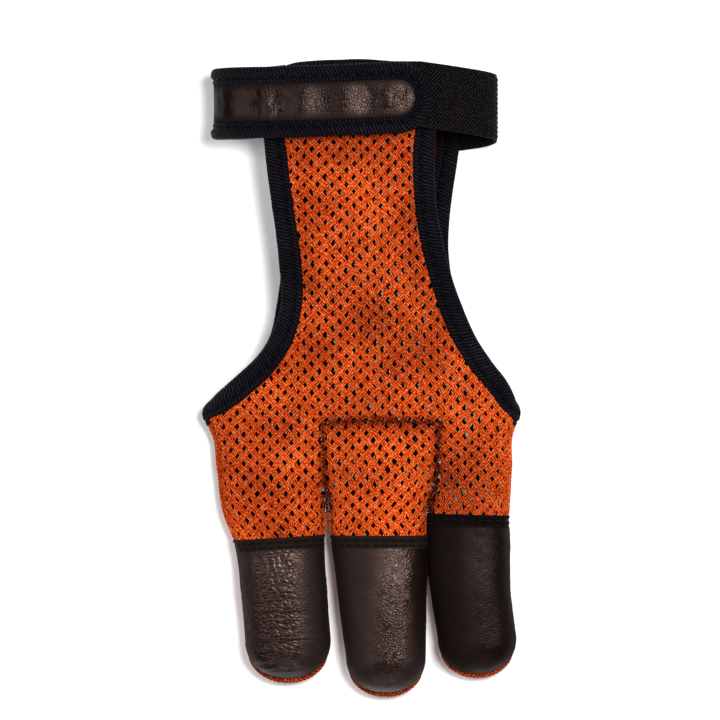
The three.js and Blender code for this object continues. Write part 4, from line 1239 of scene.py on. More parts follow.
edge_points = np.concatenate([
    turn_point("left"), on_layer(FRONT_LEFT, True), on_layer(FRONT_RIGHT[::-1], True),
    turn_point("right"), on_layer(BACK_RIGHT, False), on_layer(BACK_LEFT[::-1], False),
])
edge_line = catmull_rom(edge_points, TAPE_STEP)[:-1]
edge_normals = unit(smoothed(hand_normal(edge_line), EDGE_SMOOTHING, True))
print("edge line: %.0f mm" % (len(edge_line) * TAPE_STEP))

# %% [markdown]
# ## Carrying a profile
# The profile is a closed outline in two directions: across the tape and away from the hand. Along the line
# it is set square to the path. Slow noise makes it swell and waver, as a tape sewn by hand does.


# %% Tape profile
TAPE_FACETS = 28
GROOVE = 0.20
GROOVE_MIDDLE = 0.06
GROOVE_DEPTH = 0.68
FLANGE_LOSS = 0.30
SWELL = 0.05


def tape_outline(width, thickness):
    """Outline of a folded tape. Its half thickness is a superellipse, less a soft groove between roll
    and flange, and the flange is thinner than the roll. The first value is across, towards the net."""
    turn = np.arange(TAPE_FACETS) * 2 * math.pi / TAPE_FACETS
    c, s = np.cos(turn), np.sin(turn)
    across = np.sign(c) * np.abs(c) ** 0.75
    body = crown(np.abs(across)) * np.sign(np.round(s, 9))
    flange = 1 - FLANGE_LOSS * smoothstep(GROOVE - 0.1, GROOVE + 0.2, across)
    dip = 1 - GROOVE_DEPTH * bell(across - GROOVE - GROOVE_MIDDLE, 0.13)
    return np.stack([across * width / 2, body * flange * dip * thickness / 2], axis=1)


def sweep(path, normals, outline, widths, closed=False):
    """Carries the outline along a path: the path's direction and the normal give the two directions in
    which it stands, and widths stretch it across."""
    if closed:
        along = unit(np.roll(path, -1, axis=0) - np.roll(path, 1, axis=0))
    else:
        along = unit(np.gradient(path, axis=0))
    side = unit(np.cross(along, normals))
    up = np.cross(side, along)
    across = outline[None, :, 0] * widths[:, None]
    points = path[:, None] + side[:, None] * across[..., None] + up[:, None] * outline[None, :, 1, None]
    return points, side, up


def end_caps(rows, columns):
    """Faces that close both ends of a swept tube: opposite corners of the outline are joined."""
    half = columns // 2
    k = np.arange(half - 1)
    first = np.stack([k, k + 1, columns - 2 - k, columns - 1 - k], axis=1)
    last = (rows - 1) * columns + first[:, ::-1]
    return np.concatenate([first, last])


def swept_uv(points):
    """Place on the cloth of every corner: distance along the path and round the outline."""
    along = np.linalg.norm(np.diff(points.mean(axis=1), axis=0), axis=1)
    along = np.concatenate([[0], np.cumsum(along)])
    girth = np.linalg.norm(np.diff(points, axis=1), axis=-1).mean(axis=0)
    girth = np.concatenate([[0], np.cumsum(girth)])
    return np.stack(np.meshgrid(along, girth, indexing="ij"), axis=-1)


def bind(name, path, normals, width, thickness, nodes, widths, floor=0.05):
    """Tape piece along a path, with its slow waver. The groove's shade is e to the minus of the distance
    from it to the fourth power. Returns the sideways and the upward directions, for the stitches."""
    outline = tape_outline(width, thickness)
    points, side, up = sweep(path, normals, outline, widths)
    swell = 1 + SWELL * value_noise(path, 7.0, seed=3)
    points = path[:, None] + (points - path[:, None]) * swell[:, None, None]
    points[..., 2] = np.maximum(points[..., 2], floor)
    rows, columns = points.shape[:2]
    faces = np.concatenate([grid_faces(rows, columns, close_columns=True), end_caps(rows, columns)])
    # Painted shade in the groove, which the tape's finish reads.
    from_groove = outline[:, 0] / (width / 2) - GROOVE - GROOVE_MIDDLE
    groove_painted_shade = np.exp(-((from_groove / 0.17) ** 4))
    shade = np.tile(groove_painted_shade, (rows, 1))
    make_piece(name, points, faces, TAPE, nodes, uv=swept_uv(points), shade=shade)
    return side, up


print("the tape's outline has %d corners" % len(tape_outline(TAPE_WIDTH, TAPE_THICKNESS)))


# %% [markdown]
# ## Stitches
# A lockstitch shows as short raised dashes in a row. Each is a small spindle of thread, sunk at both ends.
# Hundreds of them go into one mesh, made by laying one spindle's grid along every dash at once.


# %% Stitches
STITCH_LENGTH = 2.5
STITCH_GAP = 0.9
STITCH_RADIUS = 0.30
STITCH_RINGS = 7
STITCH_SIDES = 6


def sew(name, path, normals, radius=STITCH_RADIUS, length=STITCH_LENGTH, gap=STITCH_GAP):
    """Row of stitches along a path. A stitch is a tube whose radius follows half a sine wave to the
    power of 0.6, and whose middle bows up by the same wave."""
    travelled = np.concatenate([[0], np.cumsum(np.linalg.norm(np.diff(path, axis=0), axis=1))])
    count = int(travelled[-1] / (length + gap))
    starts = np.arange(count) * (length + gap) + gap
    v = np.linspace(0.02, 0.98, STITCH_RINGS)
    wanted = starts[:, None] + v[None, :] * length
    centre = np.stack([np.interp(wanted, travelled, path[:, k]) for k in range(3)], axis=-1)
    normal = np.stack([np.interp(wanted, travelled, normals[:, k]) for k in range(3)], axis=-1)
    bow = np.sin(math.pi * v)
    centre = centre + normal * (bow[None, :, None] * radius * 0.7 - radius * 0.25)
    rings, _ = yarn_rings(centre, normal, 1.0, sides=STITCH_SIDES)
    thick = radius * bow ** 0.6
    points = centre[:, :, None] + (rings - centre[:, :, None]) * thick[None, :, None, None]
    points[..., 2] = np.maximum(points[..., 2], FLOOR_AIR)
    last_ring = (STITCH_RINGS - 1) * STITCH_SIDES
    one = np.concatenate([grid_faces(STITCH_RINGS, STITCH_SIDES, close_columns=True),
                          [[0, 1, 2, 3], [0, 3, 4, 5]],
                          np.array([[3, 2, 1, 0], [5, 4, 3, 0]]) + last_ring])
    first_corner = np.arange(count) * STITCH_RINGS * STITCH_SIDES
    faces = (one[None] + first_corner[:, None, None]).reshape(-1, 4)
    make_piece(name, points, faces, THREAD)


print("one stitch every %.1f mm" % (STITCH_LENGTH + STITCH_GAP))

# %% [markdown]
# ## Front and back tape
# The front tape starts on the back, a finger's breadth before one side point, runs up round the front and
# ends the same distance past the other. The back tape fills the rest.

# %% Edge tapes
left_turn, right_turn = turn_point("left"), turn_point("right")
STITCH_LINE = 0.26
STITCH_HEIGHT = 0.62
STITCH_FLOOR = 0.35
wrap = int(round(TAPE_WRAP / TAPE_STEP))
total = len(edge_line)
from_left, from_right = (np.linalg.norm(edge_line - turn, axis=1) for turn in (left_turn, right_turn))
turn_place = int(from_right.argmin())
edge_widths = 1 - TAPE_PINCH * bell(np.minimum(from_left, from_right), TAPE_WIDTH)


def bind_edge(name, first, last, node):
    """Tape and its row of stitches along a stretch of the edge line."""
    picked = np.arange(first, last + 1) % total
    path, normals, widths = edge_line[picked], edge_normals[picked], edge_widths[picked]
    side, up = bind(name, path, normals, TAPE_WIDTH, TAPE_THICKNESS, [node], widths)
    for face, words in ((1, "outer"), (-1, "inner")):
        line = path + side * (STITCH_LINE * TAPE_WIDTH / 2 * widths)[:, None] + up * (face * STITCH_HEIGHT)
        line[:, 2] = np.maximum(line[:, 2], STITCH_FLOOR)
        sew(name + "_stitches_" + words, line, face * up)


bind_edge("front_binding", -wrap, turn_place + wrap, "front_edge_tape")
bind_edge("back_binding", turn_place + wrap + 1, total - wrap - 1, "back_edge_tape")

# %% [markdown]
# ## Seams of the net
# Along the sides of the fingers the front and the back net are sewn together and turned, which leaves a
# full, bumpy edge; round the fingertips it is all that shows of the back. A braid of six yarns, three wound
# each way round the edge line, gives that edge without modelling the turned cloth inside it.

# %% Seam edges
BRAID_STEP = 0.4
BRAID_PITCH = 3.4
BRAID_YARN = 0.33
# Painted shade on the braid's flanks and on its core, which lies in shade between the yarns.
BRAID_FLANK_PAINTED_SHADE = 0.6
CORE_SIDES = 8
CORE_SIZE = 0.85
CORE_PAINTED_SHADE = 0.8
EDGE_RADIUS = 0.55
UNDER_LEATHER = dict(inset=0.5, drop=0.9, thinner=0.15)
ROUND_THE_END = dict(forward=0.95, fuller=0.45)
EDGE_INSET = 0.5
SIDE_POINTS = 120
END_POINTS = 161
CROTCHES = (-41.5, -43.0)
SIDE_POINT_Y = float(lengthwise(TAPE_TURN)) - 1.0


def braid(name, path, normals, radii, node):
    """Six yarns wound round a path: three turn one way and three the other, one turn in each pitch, on a
    tube of the given radii that is filled by a plain core."""
    along = unit(np.gradient(path, axis=0))
    side = unit(np.cross(along, normals))
    up = np.cross(side, along)
    travelled = np.arange(len(path)) * BRAID_STEP
    yarn_faces, _ = tube_faces(np.ones((1, len(path)), bool))
    parts = []
    for direction in (1, -1):
        for k in range(3):
            angle = direction * 2 * math.pi * (travelled / BRAID_PITCH + k / 3)
            out = side * np.cos(angle)[:, None] + up * np.sin(angle)[:, None]
            centre = path + out * (radii * (0.92 + 0.16 * (direction > 0)))[:, None]
            rings, facing = yarn_rings(centre[None], out[None], BRAID_YARN)
            dark = np.clip(BRAID_FLANK_PAINTED_SHADE - BRAID_FLANK_PAINTED_SHADE * facing + rim_shade(path)[:, None], 0, 1)
            parts.append((rings.reshape(-1, 3), yarn_faces, dark.ravel()))
    core, _ = yarn_rings(path[None], normals[None], 1.0, sides=CORE_SIDES)
    core = path[:, None] + (core[0] - path[:, None]) * (radii * CORE_SIZE)[:, None, None]
    last_ring = (len(path) - 1) * CORE_SIDES
    core_faces = np.concatenate([grid_faces(len(path), CORE_SIDES, close_columns=True),
                                 [[0, 1, 2, 3], [0, 3, 4, 7], [4, 5, 6, 7]],
                                 last_ring + np.array([[3, 2, 1, 0], [7, 4, 3, 0], [7, 6, 5, 4]])])
    parts.append((core.reshape(-1, 3), core_faces, np.full(CORE_SIDES * len(path), CORE_PAINTED_SHADE)))
    points, faces, shade = joined(parts)
    points[:, 2] = np.maximum(points[:, 2], 0.05)
    make_piece(name, points, faces, YARN, [node], shade=shade)


def finger_edge(finger, left_top, right_top):
    """Edge line round a finger: down its left side, round the end as the stall's superellipse, and up its
    right side. Along the leather it lies a little lower and further in."""
    shoulder = float(lengthwise(finger["rows"][-1]["at"]))
    length = (finger["rows"][-1]["at"] - finger["tip_end"]) * GLOVE_LENGTH
    turn = np.linspace(-1, 1, END_POINTS) * math.pi / 2
    cap_y = shoulder - length * np.cos(turn) ** (2 / TIP_POWER)
    cap_u = filled_out(np.sin(turn), TIP_POWER)
    left_y = np.linspace(left_top, shoulder, SIDE_POINTS)[:-1]
    right_y = np.linspace(shoulder, right_top, SIDE_POINTS)[1:]
    y = np.concatenate([left_y, cap_y, right_y])
    u = np.concatenate([-np.ones(len(left_y)), cap_u, np.ones(len(right_y))])
    left, right, _ = tube_edges(finger["rows"], y)
    palm_left, palm_right, _ = tube_edges(PALM, y)
    above = smoothstep(lengthwise(0.33), lengthwise(0.37), y)
    left = np.where(finger is INDEX, left + (palm_left - left) * above, left)
    right = np.where(finger is RING, right + (palm_right - right) * above, right)
    under = smoothstep(lengthwise(finger["hem"]) + 1, lengthwise(finger["hem"]) - 2, y)
    end = smoothstep(shoulder - 0.35 * length, shoulder - 0.8 * length, y)
    half = (right - left) / 2 - EDGE_INSET - UNDER_LEATHER["inset"] * under * (1 - end)
    x = (left + right) / 2 + u * half
    y = y + ROUND_THE_END["forward"] * end
    z = SEAM_HEIGHT - UNDER_LEATHER["drop"] * under
    path = even_path(np.stack([x, y, z], axis=1), BRAID_STEP)
    along = unit(np.gradient(path, axis=0))
    out = unit(np.cross(along, np.array([0.0, 0.0, 1.0])))
    hem_y = float(lengthwise(finger["hem"]))
    under = smoothstep(hem_y + 1, hem_y - 2, path[:, 1])
    end = smoothstep(shoulder - 0.3 * length, shoulder - 0.75 * length, path[:, 1])
    return path, out, EDGE_RADIUS - UNDER_LEATHER["thinner"] * under + ROUND_THE_END["fuller"] * end


edge_ends = (SIDE_POINT_Y, *CROTCHES, SIDE_POINT_Y)
for finger, left_top, right_top in zip(FINGERS, edge_ends, edge_ends[1:]):
    path, out, radii = finger_edge(finger, left_top, right_top)
    braid("seam_edge_" + finger["name"], path, out, radii, "back_panel")

# %% [markdown]
# ## The middle piece's seam
# The middle finger's own piece is sewn in from behind. What shows is a furrow with a row of thread, and the
# turned cloth under it, drawn with painted shade as a dark band in the gap.


# %% Middle seam
SEAM_CORNER = 2.2
SEAM_POINTS = 60
BAND_SIDES = 12
BAND_PAINTED_SHADE = 0.86
BAND_HALF_WIDTH = 0.30
BAND_HALF_HEIGHT = 0.50
BAND_DEPTH = 0.70
THREAD_DEPTH = 0.30


def middle_seam_path():
    """Line round the middle piece: up its left seam, over the arch with round corners, down the right. It
    lies in the hollow that the sewing makes, and no lower than the crotch between two fingers."""
    left_x, right_x = HALF_WIDTH * MIDDLE_SEAMS[-1]["left"], HALF_WIDTH * MIDDLE_SEAMS[-1]["right"]
    up_y = np.linspace(CROTCHES[0], float(seam_top(left_x)) - SEAM_CORNER, SEAM_POINTS)
    x_over = np.linspace(left_x + SEAM_CORNER, right_x - SEAM_CORNER, SEAM_POINTS)
    over = np.stack([x_over, seam_top(x_over)], axis=1)
    sides = [np.stack([middle_seams(up_y)[k], up_y], axis=1) for k in (0, 1)]
    flat = np.concatenate([sides[0], over, sides[1][::-1]])
    top = np.maximum(hand_top(flat[:, 0], flat[:, 1]), SEAM_HEIGHT + 3)
    path = even_path(np.concatenate([flat, top[:, None] - SEAM_DIP], axis=1), 0.5)
    return smoothed(path, 2, False), np.tile([0.0, 0.0, 1.0], (len(path), 1))


seam_line, seam_up = middle_seam_path()
sew("middle_piece_stitches", seam_line - THREAD_DEPTH * seam_up, seam_up, radius=0.22,
    length=2.4, gap=0.3)
turn = np.arange(BAND_SIDES) * 2 * math.pi / BAND_SIDES
allowance = np.stack([np.cos(turn) * BAND_HALF_WIDTH, np.sin(turn) * BAND_HALF_HEIGHT], axis=1)
band, _, _ = sweep(seam_line - BAND_DEPTH * seam_up, seam_up, allowance, np.ones(len(seam_line)))
band_faces = np.concatenate([grid_faces(len(band), BAND_SIDES, close_columns=True),
                             end_caps(len(band), BAND_SIDES)])
# The turned cloth is yarn with painted shade, near black, where the furrow lies in shade.
make_piece("middle_piece_allowance", band, band_faces, YARN, shade=np.full(band.shape[:2], BAND_PAINTED_SHADE))

# %% [markdown]
# ## Two-sided pieces
# Leather and straps have a thickness. Each is made as two grids, an outer and an inner one, whose borders
# are joined all round, so that the piece is one closed skin. The Solidify modifier would do nearly the
# same, but here the inner side can stay smooth while the outer one is grained.


# %% Slabs
def make_slab(name, outer, inner, material, nodes=(), uv=None, shade=None):
    """Closed piece between two grids of equal size: outer faces, inner faces turned over and one row of
    faces along each border."""
    rows, columns = outer.shape[:2]
    number = np.arange(rows * columns).reshape(rows, columns)
    border = np.concatenate([number[0, :], number[1:, -1], number[-1, -2::-1], number[-2:0:-1, 0]])
    ahead = np.roll(border, -1)
    below = rows * columns
    rim = np.stack([border, border + below, ahead + below, ahead], axis=1)
    top = grid_faces(rows, columns)
    faces = np.concatenate([top, top[:, ::-1] + below, rim])
    points = np.concatenate([outer.reshape(-1, 3), inner.reshape(-1, 3)])
    both = None if uv is None else np.concatenate([uv.reshape(-1, 2)] * 2)
    shades = None if shade is None else np.concatenate([shade.ravel()] * 2)
    make_piece(name, points, faces, material, nodes, uv=both, shade=shades)


def grid_normals(points):
    """Directions square to a grid: the cross product of its two slopes."""
    return unit(np.cross(np.gradient(points, axis=0), np.gradient(points, axis=1)))


level = np.stack([*np.meshgrid([0.0, 1.0], [0.0, 1.0], indexing="ij"), np.zeros((2, 2))], axis=-1)
print("normal of a level grid:", grid_normals(level)[0, 0])

# %% [markdown]
# ## Leather fingertips
# The string is drawn by the fingertips, so they are covered with thin supple leather. Each is the stall's
# own form, 1.6 mm higher, from the hem to just short of the end, where the net shows as a rim. The hem
# gets a lip and two sewn grooves, and the grain is pressed in by adding noise along the normal.

# %% Fingertips
TIP_COLUMNS = 84
HEM_ROWS = 24
BODY_ROWS = 64
CAP_ROWS = 30
HEM_BAND = 4.6
STITCH_ROWS = (1.55, 3.15)
SEAM_AIR = 0.15


def tip_surface(finger, inset):
    """Upper half of a fingertip from hem to end. Down the straight part the rows run level; round the
    end they crowd together by a power of a sine, as the form's own superellipse does."""
    shoulder = lengthwise(finger["rows"][-1]["at"])
    length = (finger["rows"][-1]["at"] - finger["tip_end"]) * GLOVE_LENGTH - TIP_RIM - inset
    turn = np.linspace(0, 1, CAP_ROWS + 1)[1:] * 0.985
    cap = shoulder - length * np.sin(turn * math.pi / 2) ** (2 / TIP_POWER)
    shrink = np.cos(turn * math.pi / 2) ** (2 / TIP_POWER)
    hem = lengthwise(finger["hem"])
    band = hem - np.linspace(0, HEM_BAND, HEM_ROWS)
    body = np.linspace(hem - HEM_BAND, shoulder, BODY_ROWS + 1)[1:]
    y = np.concatenate([band, body, cap])[:, None]
    shrink = np.concatenate([np.ones(HEM_ROWS + BODY_ROWS), shrink])[:, None]
    left, right, depth = tube_edges(finger["rows"], y)
    half = (right - left) / 2 - inset
    rise = STALL_DEPTH * depth - SEAM_HEIGHT + LEATHER_RISE - inset
    angle = np.linspace(0, math.pi, TIP_COLUMNS)[None, :]
    c, s = np.cos(angle), np.sin(angle)
    middle = (left + right) / 2
    x = middle + half * filled_out(c) * shrink
    z = SEAM_HEIGHT + SEAM_AIR + rise * np.abs(s) ** (2 / CROWN_POWER) * shrink
    slant = smoothstep(shoulder, hem, y)
    y = y + finger["hem_slope"] * (x - middle) * slant
    return np.stack([x, y + 0 * x, z], axis=-1)


def hem_relief(away):
    """Height near the hem by the distance from it: a lip, and a dip at each row of stitches."""
    lip = 0.34 * bell(away - 0.55, 0.5) + 0.16 * bell(away - 2.35, 0.45)
    dips = sum(0.30 * bell(away - row, 0.34) for row in STITCH_ROWS)
    return lip - dips


def index_relief(p):
    """Pebbles about a millimetre wide, and wrinkles across the finger where it bends."""
    pebble = 0.05 * value_noise(p, 1.15, seed=11) + 0.07 * value_noise(p, 2.3, seed=12)
    bend = bell(p[..., 1] + 83.0, 7.0)
    wrinkle = value_noise(p * np.array([0.16, 1.0, 0.2]), 1.25, seed=13)
    slack = 0.45 * value_noise(p, 13.0, seed=14)
    return pebble + slack - 0.40 * np.abs(wrinkle) * (0.35 + bend)


def middle_relief(p):
    """Smooth leather with slack folds along the finger."""
    fold = value_noise(p * np.array([1.0, 0.35, 1.0]), 9.0, seed=21)
    return 0.40 * fold + 0.06 * value_noise(p, 2.6, seed=22) + 0.03 * value_noise(p, 1.1, seed=23)


def ring_relief(p):
    """Smooth leather, a little fuller in the middle of the finger."""
    fold = value_noise(p * np.array([1.0, 0.45, 1.0]), 11.0, seed=31)
    return 0.38 * fold + 0.06 * value_noise(p, 2.6, seed=32) + 0.03 * value_noise(p, 1.1, seed=33)


def leaning(finger, points):
    """The middle and the ring finger lie against each other above the place where they part: their near
    sides are moved half a millimetre, fading out from the side and downwards."""
    toward = {"middle": 1, "ring": -1}.get(finger["name"], 0)
    middle, half, _, _ = stall_frame(finger, points[..., 1])
    near = smoothstep(0.5, 1.0, toward * (points[..., 0] - middle) / half) if toward else 0.0
    moved = points.copy()
    moved[..., 0] += toward * 0.5 * near * smoothstep(-68.0, -58.0, points[..., 1])
    return moved


print("rows of a fingertip:", HEM_ROWS + BODY_ROWS + CAP_ROWS)

# %% [markdown]
# ## Where the string polishes, and painted shade
# Each shot drags the string over the same band of leather, which gets smooth, while the rest is rough and
# darkened by painted shade, as are the low sides; the hem band is darker too. A value per corner is enough
# for it, and the leather's finish reads that value.

# %% Leather pieces
POLISHED = {
    "index": dict(at_hem=-0.10, at_tip=-0.25, reach=0.33, fade=0.58, least=0.0),
    "middle": dict(at_hem=0.62, at_tip=-0.10, reach=0.20, fade=0.65, least=0.0),
    "ring": dict(at_hem=0.40, at_tip=0.30, reach=0.15, fade=0.65, least=0.15),
}


def dullness_and_painted_shade(finger, points):
    """How rough the leather is and how much painted shade darkens it, from 0 to 1: distance, in half widths,
    from the band that the string polishes. The band slants from its place at the hem to its place at the tip."""
    band = POLISHED[finger["name"]]
    middle, half, _, _ = stall_frame(finger, points[..., 1])
    across = (points[..., 0] - middle) / half
    hem, tip = lengthwise(finger["hem"]), lengthwise(finger["tip_end"])
    centre = band["at_tip"] + (band["at_hem"] - band["at_tip"]) * (points[..., 1] - tip) / (hem - tip)
    away = smoothstep(band["reach"], band["reach"] + band["fade"], np.abs(across - centre))
    return band["least"] + (1 - band["least"]) * away


for finger, relief in ((INDEX, index_relief), (MIDDLE, middle_relief), (RING, ring_relief)):
    name = finger["name"] + "_leather"
    outer, inner = (leaning(finger, tip_surface(finger, inset)) for inset in (0.0, LEATHER_THICKNESS))
    normals = -grid_normals(outer)
    away = outer[0:1, :, 1] - outer[..., 1]
    settled = smoothstep(0.0, 6.0, away)
    height = relief(outer) * (0.25 + 0.75 * settled) + hem_relief(away)
    seam_fade = smoothstep(0.0, 1.6, outer[..., 2] - SEAM_HEIGHT - SEAM_AIR)
    outer = outer + normals * (height * seam_fade)[..., None]
    # Painted shade: darker on the low sides and away from the polished band; the hem band is darker too.
    low_side = 1 - smoothstep(0.0, 6.0, outer[..., 2] - SEAM_HEIGHT)
    hem_band = 1 - smoothstep(3.4, 4.2, away)
    painted_shade_and_wear = np.clip(0.9 * hem_band + 0.7 * low_side + 0.7 * dullness_and_painted_shade(finger, outer), 0, 1)
    make_slab(name, outer, inner, LEATHER[finger["name"]],
              [finger["name"] + "_tip_leather"], shade=painted_shade_and_wear)
    for k, row in enumerate(STITCH_ROWS):
        j = int(round(row / HEM_BAND * (HEM_ROWS - 1)))
        used = slice(6, TIP_COLUMNS - 6)
        line, up = outer[j, used][::-1], normals[j, used][::-1]
        sew(name + "_stitches_%d" % (k + 1), line + 0.05 * up, up, radius=0.34, length=2.2,
            gap=0.6)

# %% [markdown]
# ## Straps round the wrist
# The tab and the elastic run round an oval loop, flat where they lie on the table. One function walks round
# that oval and one lays a strap's two faces along it. Closing the loop as a torus would be easier, but the
# real strap is two ends that overlap on top.

# %% Loop
LOOP_SEAM_SHARE = 0.46
LOOP_SWEEP = 1.3
TAB_WIDTH = 22.0
TAB_TAPE_WIDTH = 5.5
TAB_DRIFT = 2.1
TAB_FOLD = 0.34
TAB_MIDDLE_Y = float(lengthwise(0.9390))
TAB_END = 0.444 * HALF_WIDTH
ELASTIC_WIDTH = 20.2
ELASTIC_THICKNESS = 1.5
ELASTIC_DRIFT = 6.4
ELASTIC_SLANT = 1.6
ELASTIC_MIDDLE_Y = float(lengthwise(0.9420))
ELASTIC_END = -0.20 * HALF_WIDTH
TAB_TOP = 28.0
ELASTIC_TOP = 24.95
TAB_SECTION = dict(left=-44.8, right=45.508, top=TAB_TOP, seam=LOOP_SEAM_SHARE * TAB_TOP,
                   bottom=1.7, flat=0.5)
ELASTIC_SECTION = dict(left=-41.75, right=41.708, top=ELASTIC_TOP, seam=LOOP_SEAM_SHARE * ELASTIC_TOP,
                       bottom=0.75, flat=0.78)
BACK_TAPE_OUTER_LEFT = -0.388 * HALF_WIDTH - TAPE_WIDTH / 2 - 0.6
BACK_TAPE_OUTER_RIGHT = 0.558 * HALF_WIDTH + TAPE_WIDTH / 2 - 1.0


def loop_path(section, start, end, step):
    """Middle line of a strap: along the floor from its start, over one side and on to its end on top. The
    upper half is a superellipse, the lower one a level line with quarter ellipses."""
    middle, half = (section["left"] + section["right"]) / 2, (section["right"] - section["left"]) / 2
    rise, drop = section["top"] - section["seam"], section["seam"] - section["bottom"]
    part = np.linspace(0, LOOP_SWEEP, 3000)
    side = np.sign(start)
    angle = -math.pi / 2 + part * math.pi if side > 0 else 1.5 * math.pi - part * math.pi
    c, s = np.cos(angle), np.sin(angle)
    flat = section["flat"]
    low = s < 0
    x = middle + half * np.where(low, flat * np.sign(c) + (1 - flat) * c, filled_out(c))
    z = section["seam"] + np.where(low, drop * s, rise * np.maximum(s, 0) ** (2 / CROWN_POWER))
    past_start = (side * (x - start) > 0) | (z > section["seam"])
    before_end = (z < section["seam"]) | (side * (x - end) > 0)
    used = past_start & before_end
    x, z = np.concatenate([[start], x[used]]), np.concatenate([[section["bottom"]], z[used]])
    path = even_path(np.stack([x, 0 * x, z], axis=1), step)
    along = unit(np.gradient(path, axis=0))
    square = np.stack([-along[:, 2], np.zeros(len(along)), along[:, 0]], axis=1)
    return path, unit(smoothed(square, 2, False)) * -side, np.linspace(0, 1, len(path))


def strap_grid(path, normal, y_middle, widths, offset, columns, relief=0.0):
    """Grid of a strap's face: across it y runs over the width, and offset plus relief lift it."""
    v = np.linspace(-0.5, 0.5, columns)[None, :]
    y = y_middle[:, None] + v * widths[:, None]
    lift = offset + relief + 0 * y
    base = np.stack([path[:, 0, None] + 0 * v, y, path[:, 2, None] + 0 * v], axis=-1)
    return base + normal[:, None, :] * lift[..., None]


def rounded(path, section, width, end):
    """Widths along the tab: full, and past the round end's centre twice the root of radius squared less
    distance squared."""
    radius = width / 2
    past = np.where(path[:, 2] > section["seam"], np.maximum(path[:, 0] - (end - radius), 0), 0)
    return 2 * np.sqrt(np.maximum(radius ** 2 - past ** 2, (radius * 0.12) ** 2))


def tab_y(share):
    """Middle of the tab across the glove: it drifts as a parabola about its fold."""
    travel = share - TAB_FOLD
    reach = np.where(travel < 0, TAB_FOLD, 1 - TAB_FOLD)
    return TAB_MIDDLE_Y + TAB_DRIFT * ((travel / reach) ** 2 - 1)


print("tab starts at %.1f mm, elastic at %.1f mm" % (BACK_TAPE_OUTER_LEFT, BACK_TAPE_OUTER_RIGHT))

# %% [markdown]
# ## The tab
# A strip of glossy leather is sewn into the tape's inner edge over a cloth base. It is creased by use: the
# creases are ridges of stretched noise, and the gloss shows them.

# %% Tab
TAB_STEP = 0.45
TAB_COLUMNS = 30
LEATHER_TUCK = 0.5
STRIP_FACES = (0.75, -0.35)
CLOTH_FACES = (-0.45, -1.35)
STRIP_WIDTH = TAB_WIDTH - 2 * (TAB_TAPE_WIDTH - LEATHER_TUCK)
STRIP_END = TAB_END - TAB_TAPE_WIDTH + LEATHER_TUCK


def crease_relief(grid):
    """Slow waves along the strip, about 14 mm long, and thin creases across it that lie in patches: one
    less the absolute value of stretched noise, to the fourth power."""
    x = grid[..., 0] + 0.9 * value_noise(grid, 9.0, seed=44)
    x = x - 4.9 * (1 - smoothstep(-34.0, -24.0, x))
    wave = np.cos(2 * math.pi * (x + 32.5) / 14.0)
    patch = smoothstep(-0.2, 0.5, value_noise(grid * np.array([1.0, 0.3, 1.0]), 9.0, seed=45))
    ridge = (1 - np.abs(value_noise(grid * np.array([1.0, 0.6, 0.6]), 2.2, seed=41))) ** 4
    return 0.38 * wave - 0.20 * ridge * patch + 0.05 * value_noise(grid, 1.6, seed=43)


path, normal, share = loop_path(TAB_SECTION, BACK_TAPE_OUTER_LEFT, STRIP_END, TAB_STEP)
share = share * (STRIP_END - TAB_SECTION["left"]) / (TAB_END - TAB_SECTION["left"])
widths = rounded(path, TAB_SECTION, STRIP_WIDTH, STRIP_END)
flat_uv = np.stack(np.meshgrid(np.arange(len(path)) * TAB_STEP, np.linspace(0, STRIP_WIDTH, TAB_COLUMNS),
                               indexing="ij"), axis=-1)
top = strap_grid(path, normal, tab_y(share), widths, STRIP_FACES[0], TAB_COLUMNS)
inside_strip = np.sin(np.linspace(0, math.pi, TAB_COLUMNS)) ** 0.6
top = top + normal[:, None, :] * (crease_relief(top) * inside_strip[None, :])[..., None]
under = strap_grid(path, normal, tab_y(share), widths, STRIP_FACES[1], TAB_COLUMNS)
# Painted shade on the strip: darker along its edges under the tape and near the fold, where it turns away
# from the light.
near_fold = 1 - smoothstep(-45.0, -41.0, path[:, 0])
strip_painted_shade = np.clip(1 - inside_strip * 1.3, 0, 1)[None, :] + 0.6 * near_fold[:, None]
make_slab("tab_leather_strip", top, under, LEATHER["tab"], ["wrist_tab_leather"], uv=flat_uv,
          shade=np.clip(strip_painted_shade, 0, 1))
cloth_top, cloth_under = (strap_grid(path, normal, tab_y(share), widths, offset, TAB_COLUMNS)
                          for offset in CLOTH_FACES)
make_slab("tab_cloth_base", cloth_top, cloth_under, TAPE, ["wrist_tab_base"], uv=flat_uv)


def tab_tape_path():
    """Line of the tab's tape: along the lower edge, round the end and back along the upper edge."""
    centre = TAB_END - TAB_WIDTH / 2
    inset = TAB_TAPE_WIDTH / 2
    line, up, share = loop_path(TAB_SECTION, BACK_TAPE_OUTER_LEFT, TAB_END, TAB_STEP)
    straight = (line[:, 2] < TAB_SECTION["seam"]) | (line[:, 0] < centre)
    line, up, y = line[straight], up[straight], tab_y(share)[straight]
    reach = TAB_WIDTH / 2 - inset
    lower, upper = line.copy(), line.copy()
    lower[:, 1], upper[:, 1] = y - reach, y + reach
    turn = np.linspace(-0.5, 0.5, 40)[1:-1] * math.pi
    end = np.zeros((len(turn), 3))
    end[:, 0] = centre + np.cos(turn) * reach
    end[:, 1] = y[-1] + np.sin(turn) * reach
    left, right, seam = (TAB_SECTION[side] for side in ("left", "right", "seam"))
    u = np.abs(end[:, 0] - (left + right) / 2) / ((right - left) / 2)
    end[:, 2] = seam + (TAB_TOP - seam) * crown(u)
    end_up = np.tile(up[-1], (len(turn), 1))
    return np.concatenate([lower, end, upper[::-1]]), np.concatenate([up, end_up, up[::-1]])


